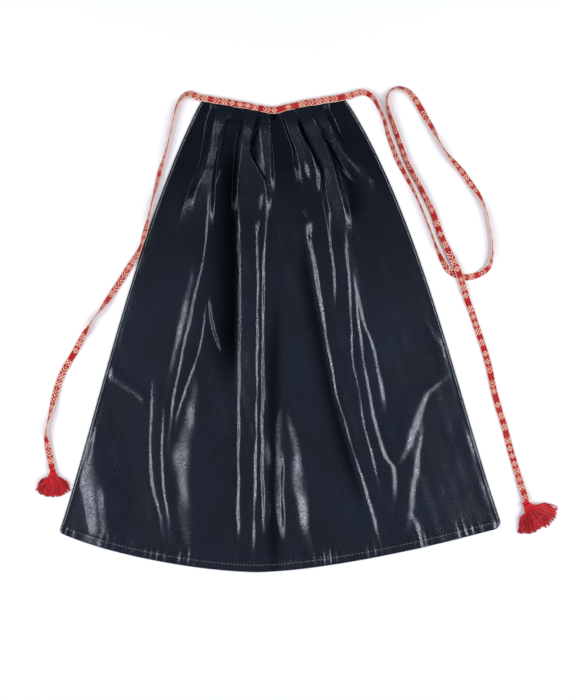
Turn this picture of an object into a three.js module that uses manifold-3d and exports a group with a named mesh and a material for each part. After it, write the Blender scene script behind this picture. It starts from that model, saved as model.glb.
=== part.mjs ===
// A folk-costume apron laid out flat: a glazed wool panel, knife-pleated into a narrow woven band,
// whose two long ends are the ties and carry red yarn tassels.
// Millimetres, +Z up. The table is z = 0, +Y runs from the hem to the waist, and the origin is under
// the middle of the panel and its waistband.

import * as THREE from 'three';
import { mergeVertices } from 'three/addons/utils/BufferGeometryUtils.js';
import Module from 'manifold-3d';

const wasm = await Module();
wasm.setup();

// ---- Driving dimensions ----------------------------------------------------------------------

const CLOTH_LENGTH = 752; // top edge to hem, along the middle of the panel
const WAIST_WIDTH = 224; // gathered width, corner to corner
const WAIST_SAG = 19; // how far the middle of the waist lies below its left end
const WAIST_OFFSET = -13; // the waist's middle, from the middle of the hem
const HEM_WIDTH = 724; // corner to corner, in a straight line
const HEM_SAG = 69; // the hem's lowest point below its corners
const HEM_CORNER_DROP = 8; // the left corner lies this much lower than the right one
const LEFT_BOW = 19; // how far each side edge bows out
const RIGHT_BOW = 28;

const CLOTH_FLAT = 1.6; // one flat layer of cloth
const HEAD_THICKNESS = 5.5; // the pleats pressed flat under the band
const PLEATS_PER_SIDE = 4;
const PLEAT_RISE = 5.5; // how proud the folds stand just below the band
const FOLD_RISE = 9.5; // half-way down
const HEM_RISE = 3.5; // at the hem
const HOLLOW_SHARE = 0.12; // height of the hollow between the middle pleats, as a share of a fold's

// Shares of the length, from the waist.
const PLEATS_FORMED = 0.07; // the pleats stand at their full height
const HEADS_FLAT = 0.35; // the thickness of the pressed heads has run out
const FOLDS_ROUND = 0.5; // knife pleats have opened into round folds
const FOLDS_SINK = 0.6; // the folds start to sink towards the hem

const BAND_WIDTH = 11; // the woven band, along waist and ties alike
const BAND_THICKNESS = 1.4;
const BAND_OVERHANG = 5; // band past each corner of the cloth before a tie swings free
const TIE_LEAD = 6; // a tie's first stretch, in line with the waistband
const LEAD_ROLL = 2; // degrees, at that stretch's end
const CLOTH_TUCK = 2.5; // cloth standing above the band's centreline, behind it
const TAPE_WIDTH = 10; // the linen tape behind the pleats
const TAPE_THICKNESS = 0.8;

const THREAD = 0.8; // thickness of a thread with its twist
const HEM_STITCH_INSET = 12; // hem stitching, above the edge
const SIDE_STITCH_INSET = 3; // side stitching, inside the edge
const BAND_STITCH_INSET = 1.4; // the seams' distance from the band's edges
const GATHER_SPACING = 5; // between the two gathering threads
const GATHER_OFFSET = -1; // the pair's middle, from the band's centreline

const LEFT_TASSEL = { headRadius: 9, skirtWidth: 49, skirtLength: 37, turn: -7 };
const RIGHT_TASSEL = { headRadius: 11, skirtWidth: 56, skirtLength: 42, turn: 17 };
const NECK_SHARE = 0.56; // neck radius as a share of the head's
const WRAP_WIDTH = 4; // binding round each tassel's neck
const WRAP_THICKNESS = 1.6;
const HEAD_FLATTENING = 0.6; // height over width where the tassel lies on the table
const SKIRT_FLATTENING = 0.24;
const WRAP_ROUNDING = [0.4, 0.6]; // taken off the binding's edges, inwards and along

const CLEARANCE = 0.3; // between pieces that touch
const RECESS_MARGIN = 1; // of the hollow behind the pleats' heads, past the tape it takes

// ---- Resolution ------------------------------------------------------------------------------

const COLUMNS_PER_PLEAT = 5;
const HOLLOW_COLUMNS = 2; // half of the hollow between the two middle pleats
const BODY_ROWS = 32;
const WAIST_STEPS = 18;
const LEFT_TIE_STEPS = 46;
const RIGHT_TIE_STEPS = 88;
const ROUND_SEGMENTS = 16;

// ---- Tie routes ------------------------------------------------------------------------------
// [x, y, roll, lift]: roll is the band's tilt about its own line in degrees, 0 lying flat and 90 on
// edge, and lift is its height above where a band of that roll rests on the table.

const LEFT_TIE_ROUTE = [
  [-147, 390.5, 16, 1.8],
  [-158.5, 386.5, 40, 0.6],
  [-168, 375, 66, 0],
  [-174, 355, 76, 0],
  [-181.5, 320, 76, 0],
  [-189.5, 289, 64, 0],
  [-197.5, 263, 42, 0],
  [-203, 240, 48, 0],
  [-210, 214, 74, 0],
  [-215, 192, 70, 0],
  [-222, 163.5, 34, 0],
  [-227.5, 144, 66, 0],
  [-236, 126, 32, 0],
  [-247.5, 108, 8, 0],
  [-260, 88, 4, 0],
  [-273, 68.5, 8, 0],
  [-285, 50.5, 34, 0],
  [-297.5, 34, 76, 0],
  [-307, 22, 84, 0],
  [-314.5, 8.5, 60, 0],
  [-323.5, -6, 16, 0],
  [-336.5, -31, 2, 0],
  [-350.5, -54, 0, 0],
  [-362, -78.5, 6, 0],
  [-370, -106, 18, 0],
  [-376, -129, 56, 0],
  [-381.5, -152, 80, 0],
  [-383.5, -166.5, 62, 0],
  [-381.5, -180, 20, 0.6],
  [-378.5, -195, 4, 1.8],
  [-375.5, -209, 0, 3.2],
  [-373.5, -221.5, 0, 4.6],
];

const RIGHT_TIE_ROUTE = [
  [132.5, 393, 18, 1.6],
  [148.5, 386, 44, 0.4],
  [158.5, 370, 66, 0],
  [167.5, 351, 62, 0],
  [174.5, 325, 54, 0],
  [182, 304.5, 46, 0],
  [189.5, 284.5, 44, 0],
  [200.5, 263, 50, 0],
  [210, 245, 56, 0],
  [220.5, 224, 74, 0],
  [228.5, 206, 80, 0],
  [237, 184.5, 78, 0],
  [245, 164, 80, 0],
  [253.5, 140.5, 72, 0],
  [263, 119.5, 44, 0],
  [275, 101.5, 12, 0],
  [289, 93.5, 0, 0],
  [305, 91, 0, 0],
  [323.5, 96, 8, 0],
  [338, 106.5, 40, 0],
  [344, 123, 64, 0],
  [344.5, 148.5, 76, 0],
  [340.5, 175, 78, 0],
  [333.5, 202.5, 72, 0],
  [323.5, 224, 48, 0],
  [310.5, 242, 20, 0],
  [297.5, 260.5, 16, 0],
  [284.5, 276, 34, 0],
  [271.5, 291.5, 66, 0],
  [258.5, 312, 74, 0],
  [247.5, 333, 40, 0],
  [237, 350, 16, 0],
  [227, 368, 12, 0],
  [216, 385.5, 22, 0],
  [205, 396, 40, 0],
  [188.5, 400, 60, 0],
  [177, 393, 76, 0],
  [173, 380, 80, 0],
  [176, 361.5, 62, 0],
  [183, 341, 50, 0],
  [190.5, 320, 44, 0],
  [198, 299, 42, 0],
  [206, 278.5, 42, 0],
  [215.5, 260, 44, 0],
  [225.5, 241.5, 44, 0],
  [236, 221, 38, 0],
  [246, 201, 26, 0],
  [254, 180, 14, 0],
  [261.5, 158.5, 6, 0.4],
  [271.5, 137.5, 2, 1.6],
  [281.5, 117.5, 0, 3.6],
  [290.5, 97, 0, 4.4],
  [297.5, 75, 0, 3.2],
  [304.5, 52.5, 0, 1.2],
  [312, 32.5, 0, 0.2],
  [321, 5, 2, 0],
  [330.5, -23, 4, 0],
  [340.5, -59.5, 2, 0],
  [347.5, -93, 0, 0],
  [354.5, -119.5, 2, 0],
  [364.5, -152, 4, 0],
  [372.5, -183, 2, 0],
  [381.5, -214, 0, 0.2],
  [391.5, -247, 0, 2.6],
  [400, -273, 0, 5.2],
];

// ---- Materials -------------------------------------------------------------------------------

const GLAZED_WOOL = { color: 0x1b2432, roughness: 0.34, metalness: 0 };
const WOVEN_BAND = { color: 0xc2333b, roughness: 0.85, metalness: 0 };
const LINEN = { color: 0xd9cfb8, roughness: 0.9, metalness: 0 };
const PALE_THREAD = { color: 0x7f8f8c, roughness: 0.8, metalness: 0 };
const RED_THREAD = { color: 0xa92832, roughness: 0.8, metalness: 0 };
const TASSEL_YARN = { color: 0xcb2536, roughness: 0.95, metalness: 0 };

const apron = new THREE.Group();

function addPiece(group, name, geometry, material) {
  const mesh = new THREE.Mesh(geometry, new THREE.MeshStandardMaterial(material));
  mesh.name = name;
  group.add(mesh);
  return mesh;
}

// ---- The panel's plan ------------------------------------------------------------------------

const { lerp, smoothstep, degToRad } = THREE.MathUtils;

// The waist droops in its middle: [share of the width, share of the sag].
const WAIST_SHAPE = [[-0.5, 0], [-0.24, 0.5], [-0.1, 0.84], [0, 1], [0.1, 0.76], [0.21, 0.48], [0.5, -0.1]];

const WAIST_Y = 382.3; // the band's centreline at the cloth's left corner
const hemCornerY = WAIST_Y - WAIST_SAG + CLOTH_TUCK - CLOTH_LENGTH + HEM_SAG;

const waistLine = new THREE.CatmullRomCurve3(
  WAIST_SHAPE.map(([across, sag]) => new THREE.Vector3(
    WAIST_OFFSET + across * WAIST_WIDTH,
    WAIST_Y - sag * WAIST_SAG,
    0,
  )),
);

function waistEdge(s) {
  const point = waistLine.getPointAt(s);
  point.y += CLOTH_TUCK;
  return point;
}

// Deepest a little left of the middle and straighter towards the corners.
function hemEdge(s) {
  const sag = HEM_SAG * (1 - Math.abs(2 * s ** 0.87 - 1) ** 1.6);
  return new THREE.Vector3(
    (s - 0.5) * HEM_WIDTH,
    hemCornerY - HEM_CORNER_DROP * (1 - s) - sag,
    0,
  );
}

// A side edge is fullest a third of the way down.
function sideEdge(t, s) {
  const fullness = t ** 0.75 * (1 - t) ** 1.6 / 0.23;
  const point = waistEdge(s).lerp(hemEdge(s), t);
  point.x += fullness * (s === 0 ? -LEFT_BOW : RIGHT_BOW);
  return point;
}

// The point of the flat outline at share s across and share t down.
function planPoint(s, t) {
  const point = sideEdge(t, 0).lerp(sideEdge(t, 1), s);
  point.add(waistEdge(s).lerp(hemEdge(s), t));
  const cornerTop = waistEdge(0).lerp(waistEdge(1), s);
  const cornerHem = hemEdge(0).lerp(hemEdge(1), s);
  return point.sub(cornerTop.lerp(cornerHem, t));
}

// ---- The panel's folds -----------------------------------------------------------------------

const pleatColumns = PLEATS_PER_SIDE * COLUMNS_PER_PLEAT;
const halfColumns = HOLLOW_COLUMNS + pleatColumns;
const headShare = (BAND_WIDTH / 2 + CLOTH_TUCK + 1.5) / CLOTH_LENGTH;

// Columns from left to right: the edge, its stitching line, then evenly across to the other edge.
const columns = [];
for (let i = 0; i <= 2 * halfColumns; i += 1) {
  const s = i / (2 * halfColumns);
  const fromMiddle = Math.abs(i - halfColumns);
  const column = { s, inset: 0, fromMiddle };
  if (i === 2 * halfColumns) columns.push({ s, inset: -SIDE_STITCH_INSET, fromMiddle });
  columns.push(column);
  if (i === 0) columns.push({ s, inset: SIDE_STITCH_INSET, fromMiddle });
}

const rows = [0];
for (let i = 0; i < BODY_ROWS; i += 1) {
  rows.push(lerp(headShare, 1, i / BODY_ROWS));
}
rows.push(1 - HEM_STITCH_INSET / CLOTH_LENGTH);
rows.push(1);

// 0 to 1 across one pleat: a knife edge that faces the middle, easing into a round fold further down.
function foldShape(fromMiddle, t) {
  const k = fromMiddle - HOLLOW_COLUMNS;
  if (k < 0) return HOLLOW_SHARE;
  const share = (k % COLUMNS_PER_PLEAT) / COLUMNS_PER_PLEAT;
  const knife = 1 - share;
  const round = 0.5 + 0.5 * Math.cos(2 * Math.PI * (share - 0.2));
  const toEdge = Math.min(1, (halfColumns - fromMiddle) / 2);
  return lerp(knife, round, smoothstep(t, PLEATS_FORMED, FOLDS_ROUND)) * toEdge;
}

function clothHeight(fromMiddle, t) {
  if (t <= headShare) return HEAD_THICKNESS;
  const base = lerp(HEAD_THICKNESS, CLOTH_FLAT, smoothstep(t, headShare, HEADS_FLAT));
  const upper = lerp(0, PLEAT_RISE, smoothstep(t, headShare, PLEATS_FORMED));
  const middle = lerp(upper, FOLD_RISE, smoothstep(t, PLEATS_FORMED, FOLDS_ROUND));
  const rise = lerp(middle, HEM_RISE, smoothstep(t, FOLDS_SINK, 1));
  return base + rise * foldShape(fromMiddle, t);
}

function clothSurface(column, t) {
  const point = planPoint(column.s, t);
  point.x += column.inset;
  point.z = clothHeight(column.fromMiddle, t);
  return point;
}

const surface = rows.map((t) => columns.map((column) => clothSurface(column, t)));

// ---- Geometry helpers ------------------------------------------------------------------------

function toSolid(geometry) {
  const bare = geometry.clone();
  bare.deleteAttribute('normal');
  bare.deleteAttribute('uv');
  const merged = mergeVertices(bare);
  return new wasm.Manifold(new wasm.Mesh({
    numProp: 3,
    vertProperties: new Float32Array(merged.attributes.position.array),
    triVerts: new Uint32Array(merged.index.array),
  }));
}

function fromSolid(solid) {
  const { vertProperties, triVerts } = solid.getMesh();
  const geometry = new THREE.BufferGeometry();
  geometry.setAttribute('position', new THREE.BufferAttribute(vertProperties, 3));
  geometry.setIndex(new THREE.BufferAttribute(triVerts, 1));
  geometry.computeVertexNormals();
  return geometry;
}

function chordTangents(points) {
  const last = points.length - 1;
  return points.map((point, i) => {
    const before = points[Math.max(i - 1, 0)];
    const after = points[Math.min(i + 1, last)];
    return after.clone().sub(before).normalize();
  });
}

// A line of points with a roll at each, which a section is swept along: the section's x is the thin
// direction, up where the roll is 0, and its y runs across.
class SweepLine extends THREE.Curve {
  constructor(points, rolls = points.map(() => 0), tangents = chordTangents(points)) {
    super();
    this.points = points;
    this.rolls = rolls;
    this.tangents = tangents;
  }

  getSpacedPoints() {
    return this.points;
  }

  computeFrenetFrames() {
    const up = new THREE.Vector3(0, 0, 1);
    const normals = this.tangents.map((tangent, i) => {
      const across = up.clone().cross(tangent).normalize();
      return tangent.clone().cross(across).applyAxisAngle(tangent, degToRad(this.rolls[i]));
    });
    const binormals = this.tangents.map((tangent, i) => tangent.clone().cross(normals[i]));
    return { tangents: this.tangents, normals, binormals };
  }
}

function sweep(section, line) {
  const steps = line.points.length - 1;
  return new THREE.ExtrudeGeometry(section, { steps, extrudePath: line, bevelEnabled: false });
}

// A flat band's section with softened edges.
function bandSection(width, thickness) {
  const soft = thickness / 4;
  const [x, y] = [thickness / 2, width / 2];
  return new THREE.Shape([
    new THREE.Vector2(x, -y + soft),
    new THREE.Vector2(x, y - soft),
    new THREE.Vector2(x - soft, y),
    new THREE.Vector2(-x + soft, y),
    new THREE.Vector2(-x, y - soft),
    new THREE.Vector2(-x, -y + soft),
    new THREE.Vector2(-x + soft, -y),
    new THREE.Vector2(x - soft, -y),
  ]);
}

function threadSection() {
  const points = [];
  for (let i = 0; i < 6; i += 1) {
    const angle = (i * Math.PI) / 3;
    points.push(new THREE.Vector2(Math.cos(angle), Math.sin(angle)).multiplyScalar(THREAD / 2));
  }
  return new THREE.Shape(points);
}

// ---- The panel -------------------------------------------------------------------------------

// The folds on top, a flat underside on the table, and a wall round the edge between them.
function panelGeometry() {
  const wide = columns.length;
  const tall = rows.length;
  const positions = surface.flat().flatMap((p) => [p.x, p.y, p.z]);
  const faces = [];
  for (let r = 0; r < tall - 1; r += 1) {
    for (let c = 0; c < wide - 1; c += 1) {
      const a = r * wide + c;
      faces.push(a, a + wide, a + wide + 1, a, a + wide + 1, a + 1);
    }
  }

  // The rim, anticlockwise seen from above: down the left side, along the hem, up and back.
  const rim = [];
  for (let r = 0; r < tall - 1; r += 1) rim.push(r * wide);
  for (let c = 0; c < wide - 1; c += 1) rim.push((tall - 1) * wide + c);
  for (let r = tall - 1; r > 0; r -= 1) rim.push(r * wide + wide - 1);
  for (let c = wide - 1; c > 0; c -= 1) rim.push(c);

  const firstUnder = positions.length / 3;
  rim.forEach((v) => positions.push(positions[3 * v], positions[3 * v + 1], 0));
  rim.forEach((v, i) => {
    const next = (i + 1) % rim.length;
    faces.push(firstUnder + i, firstUnder + next, rim[next]);
    faces.push(firstUnder + i, rim[next], v);
  });
  const outline = rim.map((v) => new THREE.Vector2(positions[3 * v], positions[3 * v + 1]));
  THREE.ShapeUtils.triangulateShape(outline, []).forEach(([a, b, c]) => {
    faces.push(firstUnder + a, firstUnder + c, firstUnder + b);
  });

  const geometry = new THREE.BufferGeometry();
  geometry.setAttribute('position', new THREE.Float32BufferAttribute(positions, 3));
  geometry.setIndex(faces);
  geometry.computeVertexNormals();
  return geometry;
}

// The waist line moved up by `offset`, at height z, and carried on past both ends by `past`.
function waistPoints(offset, z, past) {
  const points = waistLine.getSpacedPoints(WAIST_STEPS);
  const startWay = waistLine.getTangentAt(0).multiplyScalar(-past);
  const endWay = waistLine.getTangentAt(1).multiplyScalar(past);
  points[0].add(startWay);
  points[WAIST_STEPS].add(endWay);
  points.forEach((p) => p.add(new THREE.Vector3(0, offset, z)));
  return points;
}

// The pleats' heads are set back behind, for the tape and the gathering threads that lie there.
const recessDepth = TAPE_THICKNESS + THREAD + 2 * CLEARANCE;
const recessBelow = 2; // past the underside, so that the cut is clean
const recessAbove = 8; // past the cloth's top edge
const recessWidth = TAPE_WIDTH / 2 + RECESS_MARGIN + CLOTH_TUCK + recessAbove;
const recess = sweep(
  bandSection(recessWidth, recessDepth + recessBelow),
  new SweepLine(waistPoints(
    recessWidth / 2 - TAPE_WIDTH / 2 - RECESS_MARGIN,
    (recessDepth - recessBelow) / 2,
    3 * BAND_OVERHANG,
  )),
);
const panel = fromSolid(toSolid(panelGeometry()).subtract(toSolid(recess)));
addPiece(apron, 'cloth_panel', panel, GLAZED_WOOL);

const threadLift = new THREE.Vector3(0, 0, CLEARANCE + THREAD / 2);
const hemRow = rows.length - 2;

const hemThread = surface[hemRow].slice(2, -2).map((p) => p.clone().add(threadLift));
addPiece(apron, 'hem_stitch_thread', sweep(threadSection(), new SweepLine(hemThread)), PALE_THREAD);

const EDGES = [['left_edge_stitch_thread', 1], ['right_edge_stitch_thread', columns.length - 2]];
EDGES.forEach(([name, column]) => {
  const line = surface.slice(2, hemRow).map((row) => row[column].clone().add(threadLift));
  addPiece(apron, name, sweep(threadSection(), new SweepLine(line)), PALE_THREAD);
});

// ---- The waist -------------------------------------------------------------------------------

const bandZ = HEAD_THICKNESS + CLEARANCE + BAND_THICKNESS / 2;
const waistband = new SweepLine(waistPoints(0, bandZ, BAND_OVERHANG));
addPiece(apron, 'waistband', sweep(bandSection(BAND_WIDTH, BAND_THICKNESS), waistband), WOVEN_BAND);

const tape = new SweepLine(waistPoints(0, TAPE_THICKNESS / 2, 0));
addPiece(
  apron,
  'waistband_facing_tape',
  sweep(bandSection(TAPE_WIDTH, TAPE_THICKNESS), tape),
  LINEN,
);

const gatherZ = TAPE_THICKNESS + CLEARANCE + THREAD / 2;
const seamZ = bandZ + BAND_THICKNESS / 2 + CLEARANCE + THREAD / 2;
const seamOffset = BAND_WIDTH / 2 - BAND_STITCH_INSET;
const WAIST_THREADS = [
  ['upper_gathering_thread', GATHER_SPACING / 2 + GATHER_OFFSET, gatherZ, LINEN],
  ['lower_gathering_thread', -GATHER_SPACING / 2 + GATHER_OFFSET, gatherZ, LINEN],
  ['waistband_upper_seam_thread', seamOffset, seamZ, RED_THREAD],
  ['waistband_lower_seam_thread', -seamOffset, seamZ, RED_THREAD],
];
WAIST_THREADS.forEach(([name, offset, z, material]) => {
  const line = new SweepLine(waistPoints(offset, z, 0));
  addPiece(apron, name, sweep(threadSection(), line), material);
});

// ---- Ties ------------------------------------------------------------------------------------

// The height of the band's centreline where it rests on the table at a roll.
function restHeight(roll) {
  const angle = degToRad(roll);
  const tilted = (BAND_WIDTH / 2) * Math.sin(angle) + (BAND_THICKNESS / 2) * Math.cos(angle);
  return tilted + CLEARANCE;
}

// A tie runs straight on from the waistband's end, past a narrow gap, and then along its route.
function tieLine(end, way, route, steps) {
  const start = end.clone().addScaledVector(way, CLEARANCE);
  const rolls = [0, LEAD_ROLL, ...route.map(([, , roll]) => roll)];
  const points = [
    start,
    start.clone().addScaledVector(way, TIE_LEAD),
    ...route.map(([x, y, roll, lift]) => new THREE.Vector3(x, y, restHeight(roll) + lift)),
  ];
  const curve = new THREE.CatmullRomCurve3(points);
  const stations = [];
  const rolled = [];
  const tangents = [];
  for (let i = 0; i <= steps; i += 1) {
    const share = curve.getUtoTmapping(i / steps) * (points.length - 1);
    const before = Math.min(Math.floor(share), points.length - 2);
    stations.push(curve.getPointAt(i / steps));
    tangents.push(curve.getTangentAt(i / steps));
    rolled.push(lerp(rolls[before], rolls[before + 1], share - before));
  }
  return new SweepLine(stations, rolled, tangents);
}

// ---- Tassels ---------------------------------------------------------------------------------

// Lies flatter towards the cut ends of the yarn.
function flatten(geometry, skirtLength) {
  const position = geometry.attributes.position;
  for (let i = 0; i < position.count; i += 1) {
    const towardsEnd = THREE.MathUtils.clamp(-position.getY(i) / skirtLength, 0, 1);
    const ratio = lerp(HEAD_FLATTENING, SKIRT_FLATTENING, smoothstep(towardsEnd, 0.25, 0.8));
    position.setZ(i, position.getZ(i) * ratio);
  }
  geometry.computeVertexNormals();
  return geometry;
}

function turned(outline) {
  const points = outline.map(([x, y]) => new THREE.Vector2(x, y));
  return new THREE.LatheGeometry(points, ROUND_SEGMENTS);
}

// A round head that the band runs into, a bound neck, and a skirt of cut yarn. The tassel hangs
// along -Y from its head's centre, which is also what it swings about.
function addTassel(side, tieEnd, way, size) {
  const { headRadius, skirtWidth, skirtLength, turn } = size;
  const skirtRadius = skirtWidth / 2;
  const neck = headRadius * NECK_SHARE;
  const headBottom = Math.sqrt(headRadius ** 2 - (neck + WRAP_THICKNESS) ** 2);
  const wrapTop = headBottom + CLEARANCE;
  const wrapBottom = wrapTop + WRAP_WIDTH;

  const dome = [[0, -headBottom]];
  const domeSteps = 7;
  const firstAngle = -Math.asin(headBottom / headRadius);
  for (let i = 0; i < domeSteps; i += 1) {
    const angle = lerp(firstAngle, Math.PI / 2, i / domeSteps);
    dome.push([headRadius * Math.cos(angle), headRadius * Math.sin(angle)]);
  }
  dome.push([0, headRadius]);

  const inner = neck + CLEARANCE;
  const outer = neck + WRAP_THICKNESS;
  const [softIn, softAlong] = WRAP_ROUNDING;
  const wrap = [
    [inner, -wrapBottom],
    [outer - softIn, -wrapBottom],
    [outer, -wrapBottom + softAlong],
    [outer, -wrapTop - softAlong],
    [outer - softIn, -wrapTop],
    [inner, -wrapTop],
    [inner, -wrapBottom],
  ];

  const flare = wrapBottom + CLEARANCE;
  const skirt = [
    [0, -skirtLength],
    [skirtRadius * 0.5, -skirtLength],
    [skirtRadius * 0.86, -skirtLength * 0.95],
    [skirtRadius, -skirtLength * 0.84],
    [lerp(neck, skirtRadius, 0.72), -lerp(flare, skirtLength, 0.5)],
    [lerp(neck, skirtRadius, 0.32), -lerp(flare, skirtLength, 0.14)],
    [neck, -flare],
    [neck, -wrapTop],
    [0, -wrapTop],
  ];

  const head = flatten(turned(dome), skirtLength);
  const binding = flatten(turned(wrap), skirtLength);
  const yarn = flatten(turned(skirt), skirtLength);
  const halfHeights = [head, yarn].map((geometry) => {
    geometry.computeBoundingBox();
    return geometry.boundingBox.max.z;
  });

  const tassel = new THREE.Group();
  const flatWay = new THREE.Vector3(way.x, way.y, 0).normalize();
  tassel.position.copy(tieEnd).addScaledVector(flatWay, headRadius + CLEARANCE);
  tassel.position.z = Math.max(...halfHeights);
  tassel.rotation.z = Math.atan2(flatWay.x, -flatWay.y) + degToRad(turn);
  apron.add(tassel);
  addPiece(tassel, `${side}_tassel_head`, head, TASSEL_YARN);
  addPiece(tassel, `${side}_tassel_neck_wrap`, binding, RED_THREAD);
  addPiece(tassel, `${side}_tassel_skirt`, yarn, TASSEL_YARN);
}

const SIDES = [
  ['left', 0, -1, LEFT_TIE_ROUTE, LEFT_TIE_STEPS, LEFT_TASSEL],
  ['right', WAIST_STEPS, 1, RIGHT_TIE_ROUTE, RIGHT_TIE_STEPS, RIGHT_TASSEL],
];
SIDES.forEach(([side, last, outward, route, steps, tasselSize]) => {
  const way = waistband.tangents[last].clone().multiplyScalar(outward);
  const line = tieLine(waistband.points[last], way, route, steps);
  addPiece(apron, `${side}_tie`, sweep(bandSection(BAND_WIDTH, BAND_THICKNESS), line), WOVEN_BAND);
  addTassel(side, line.points.at(-1), line.tangents.at(-1), tasselSize);
});

export default apron;
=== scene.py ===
# A pleated folk-costume apron laid flat: navy glazed wool, a pattern-woven band and yarn tassels.
# Metres, in the CAD's frame: the table is z = 0, +Y runs from the hem to the waist.
import math
import random

import bpy
import numpy as np
from mathutils import Matrix, Vector
from mathutils.kdtree import KDTree


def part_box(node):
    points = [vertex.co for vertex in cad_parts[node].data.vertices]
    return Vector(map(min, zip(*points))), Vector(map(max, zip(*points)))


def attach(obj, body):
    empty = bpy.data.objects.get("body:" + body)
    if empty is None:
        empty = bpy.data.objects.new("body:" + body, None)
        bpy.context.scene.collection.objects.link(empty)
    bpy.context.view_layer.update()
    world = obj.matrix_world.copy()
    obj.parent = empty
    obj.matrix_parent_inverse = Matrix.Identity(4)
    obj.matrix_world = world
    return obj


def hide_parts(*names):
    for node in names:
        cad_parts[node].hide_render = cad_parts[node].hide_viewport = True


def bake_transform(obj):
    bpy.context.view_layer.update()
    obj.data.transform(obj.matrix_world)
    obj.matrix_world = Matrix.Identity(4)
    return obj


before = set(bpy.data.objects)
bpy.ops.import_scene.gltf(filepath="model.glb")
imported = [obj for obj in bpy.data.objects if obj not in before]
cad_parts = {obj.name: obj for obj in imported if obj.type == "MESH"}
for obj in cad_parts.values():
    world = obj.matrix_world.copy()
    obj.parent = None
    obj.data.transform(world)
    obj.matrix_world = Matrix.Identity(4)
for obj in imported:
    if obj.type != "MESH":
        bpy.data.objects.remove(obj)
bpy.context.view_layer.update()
random.seed(7)

MM = 0.001

# ---- Sizes shared with the CAD source, in metres ---------------------------------------------

CLOTH_LENGTH = 0.752
WAIST_WIDTH = 0.224
WAIST_SAG = 0.019
WAIST_OFFSET = -0.013
WAIST_Y = 0.3823
HEM_WIDTH = 0.724
HEM_SAG = 0.069
HEM_CORNER_DROP = 0.008
LEFT_BOW = 0.019
RIGHT_BOW = 0.028
CLOTH_TUCK = 0.0025
SIDE_STITCH_INSET = 0.003
HEM_STITCH_INSET = 0.012
BAND_WIDTH = 0.011
BAND_THICKNESS = 0.0014
BAND_OVERHANG = 0.005
TIE_LEAD = 0.006
LEAD_ROLL = 2.0  # degrees
TIE_STEP = 0.002
CLEARANCE = 0.0003
HEAD_THICKNESS = 0.0055
BAND_Z = HEAD_THICKNESS + CLEARANCE + BAND_THICKNESS / 2

WAIST_SHAPE = [(-0.5, 0), (-0.24, 0.5), (-0.1, 0.84), (0, 1), (0.1, 0.76), (0.21, 0.48), (0.5, -0.1)]

# [x, y, roll in degrees, lift], in millimetres.
LEFT_TIE_ROUTE = [
    (-147, 390.5, 16, 1.8), (-158.5, 386.5, 40, 0.6), (-168, 375, 66, 0), (-174, 355, 76, 0),
    (-181.5, 320, 76, 0), (-189.5, 289, 64, 0), (-197.5, 263, 42, 0), (-203, 240, 48, 0),
    (-210, 214, 74, 0), (-215, 192, 70, 0), (-222, 163.5, 34, 0), (-227.5, 144, 66, 0),
    (-236, 126, 32, 0), (-247.5, 108, 8, 0), (-260, 88, 4, 0), (-273, 68.5, 8, 0),
    (-285, 50.5, 34, 0), (-297.5, 34, 76, 0), (-307, 22, 84, 0), (-314.5, 8.5, 60, 0),
    (-323.5, -6, 16, 0), (-336.5, -31, 2, 0), (-350.5, -54, 0, 0), (-362, -78.5, 6, 0),
    (-370, -106, 18, 0), (-376, -129, 56, 0), (-381.5, -152, 80, 0), (-383.5, -166.5, 62, 0),
    (-381.5, -180, 20, 0.6), (-378.5, -195, 4, 1.8), (-375.5, -209, 0, 3.2),
    (-373.5, -221.5, 0, 4.6),
]
RIGHT_TIE_ROUTE = [
    (132.5, 393, 18, 1.6), (148.5, 386, 44, 0.4), (158.5, 370, 66, 0), (167.5, 351, 62, 0),
    (174.5, 325, 54, 0), (182, 304.5, 46, 0), (189.5, 284.5, 44, 0), (200.5, 263, 50, 0),
    (210, 245, 56, 0), (220.5, 224, 74, 0), (228.5, 206, 80, 0), (237, 184.5, 78, 0),
    (245, 164, 80, 0), (253.5, 140.5, 72, 0), (263, 119.5, 44, 0), (275, 101.5, 12, 0),
    (289, 93.5, 0, 0), (305, 91, 0, 0), (323.5, 96, 8, 0), (338, 106.5, 40, 0),
    (344, 123, 64, 0), (344.5, 148.5, 76, 0), (340.5, 175, 78, 0), (333.5, 202.5, 72, 0),
    (323.5, 224, 48, 0), (310.5, 242, 20, 0), (297.5, 260.5, 16, 0), (284.5, 276, 34, 0),
    (271.5, 291.5, 66, 0), (258.5, 312, 74, 0), (247.5, 333, 40, 0), (237, 350, 16, 0),
    (227, 368, 12, 0), (216, 385.5, 22, 0), (205, 396, 40, 0), (188.5, 400, 60, 0),
    (177, 393, 76, 0), (173, 380, 80, 0), (176, 361.5, 62, 0), (183, 341, 50, 0),
    (190.5, 320, 44, 0), (198, 299, 42, 0), (206, 278.5, 42, 0), (215.5, 260, 44, 0),
    (225.5, 241.5, 44, 0), (236, 221, 38, 0), (246, 201, 26, 0), (254, 180, 14, 0),
    (261.5, 158.5, 6, 0.4), (271.5, 137.5, 2, 1.6), (281.5, 117.5, 0, 3.6),
    (290.5, 97, 0, 4.4), (297.5, 75, 0, 3.2), (304.5, 52.5, 0, 1.2), (312, 32.5, 0, 0.2),
    (321, 5, 2, 0), (330.5, -23, 4, 0), (340.5, -59.5, 2, 0), (347.5, -93, 0, 0),
    (354.5, -119.5, 2, 0), (364.5, -152, 4, 0), (372.5, -183, 2, 0), (381.5, -214, 0, 0.2),
    (391.5, -247, 0, 2.6), (400, -273, 0, 5.2),
]

# ---- Helpers ---------------------------------------------------------------------------------


def smoothstep(x, low, high):
    t = np.clip((np.asarray(x, float) - low) / (high - low), 0, 1)
    return t * t * (3 - 2 * t)


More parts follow.
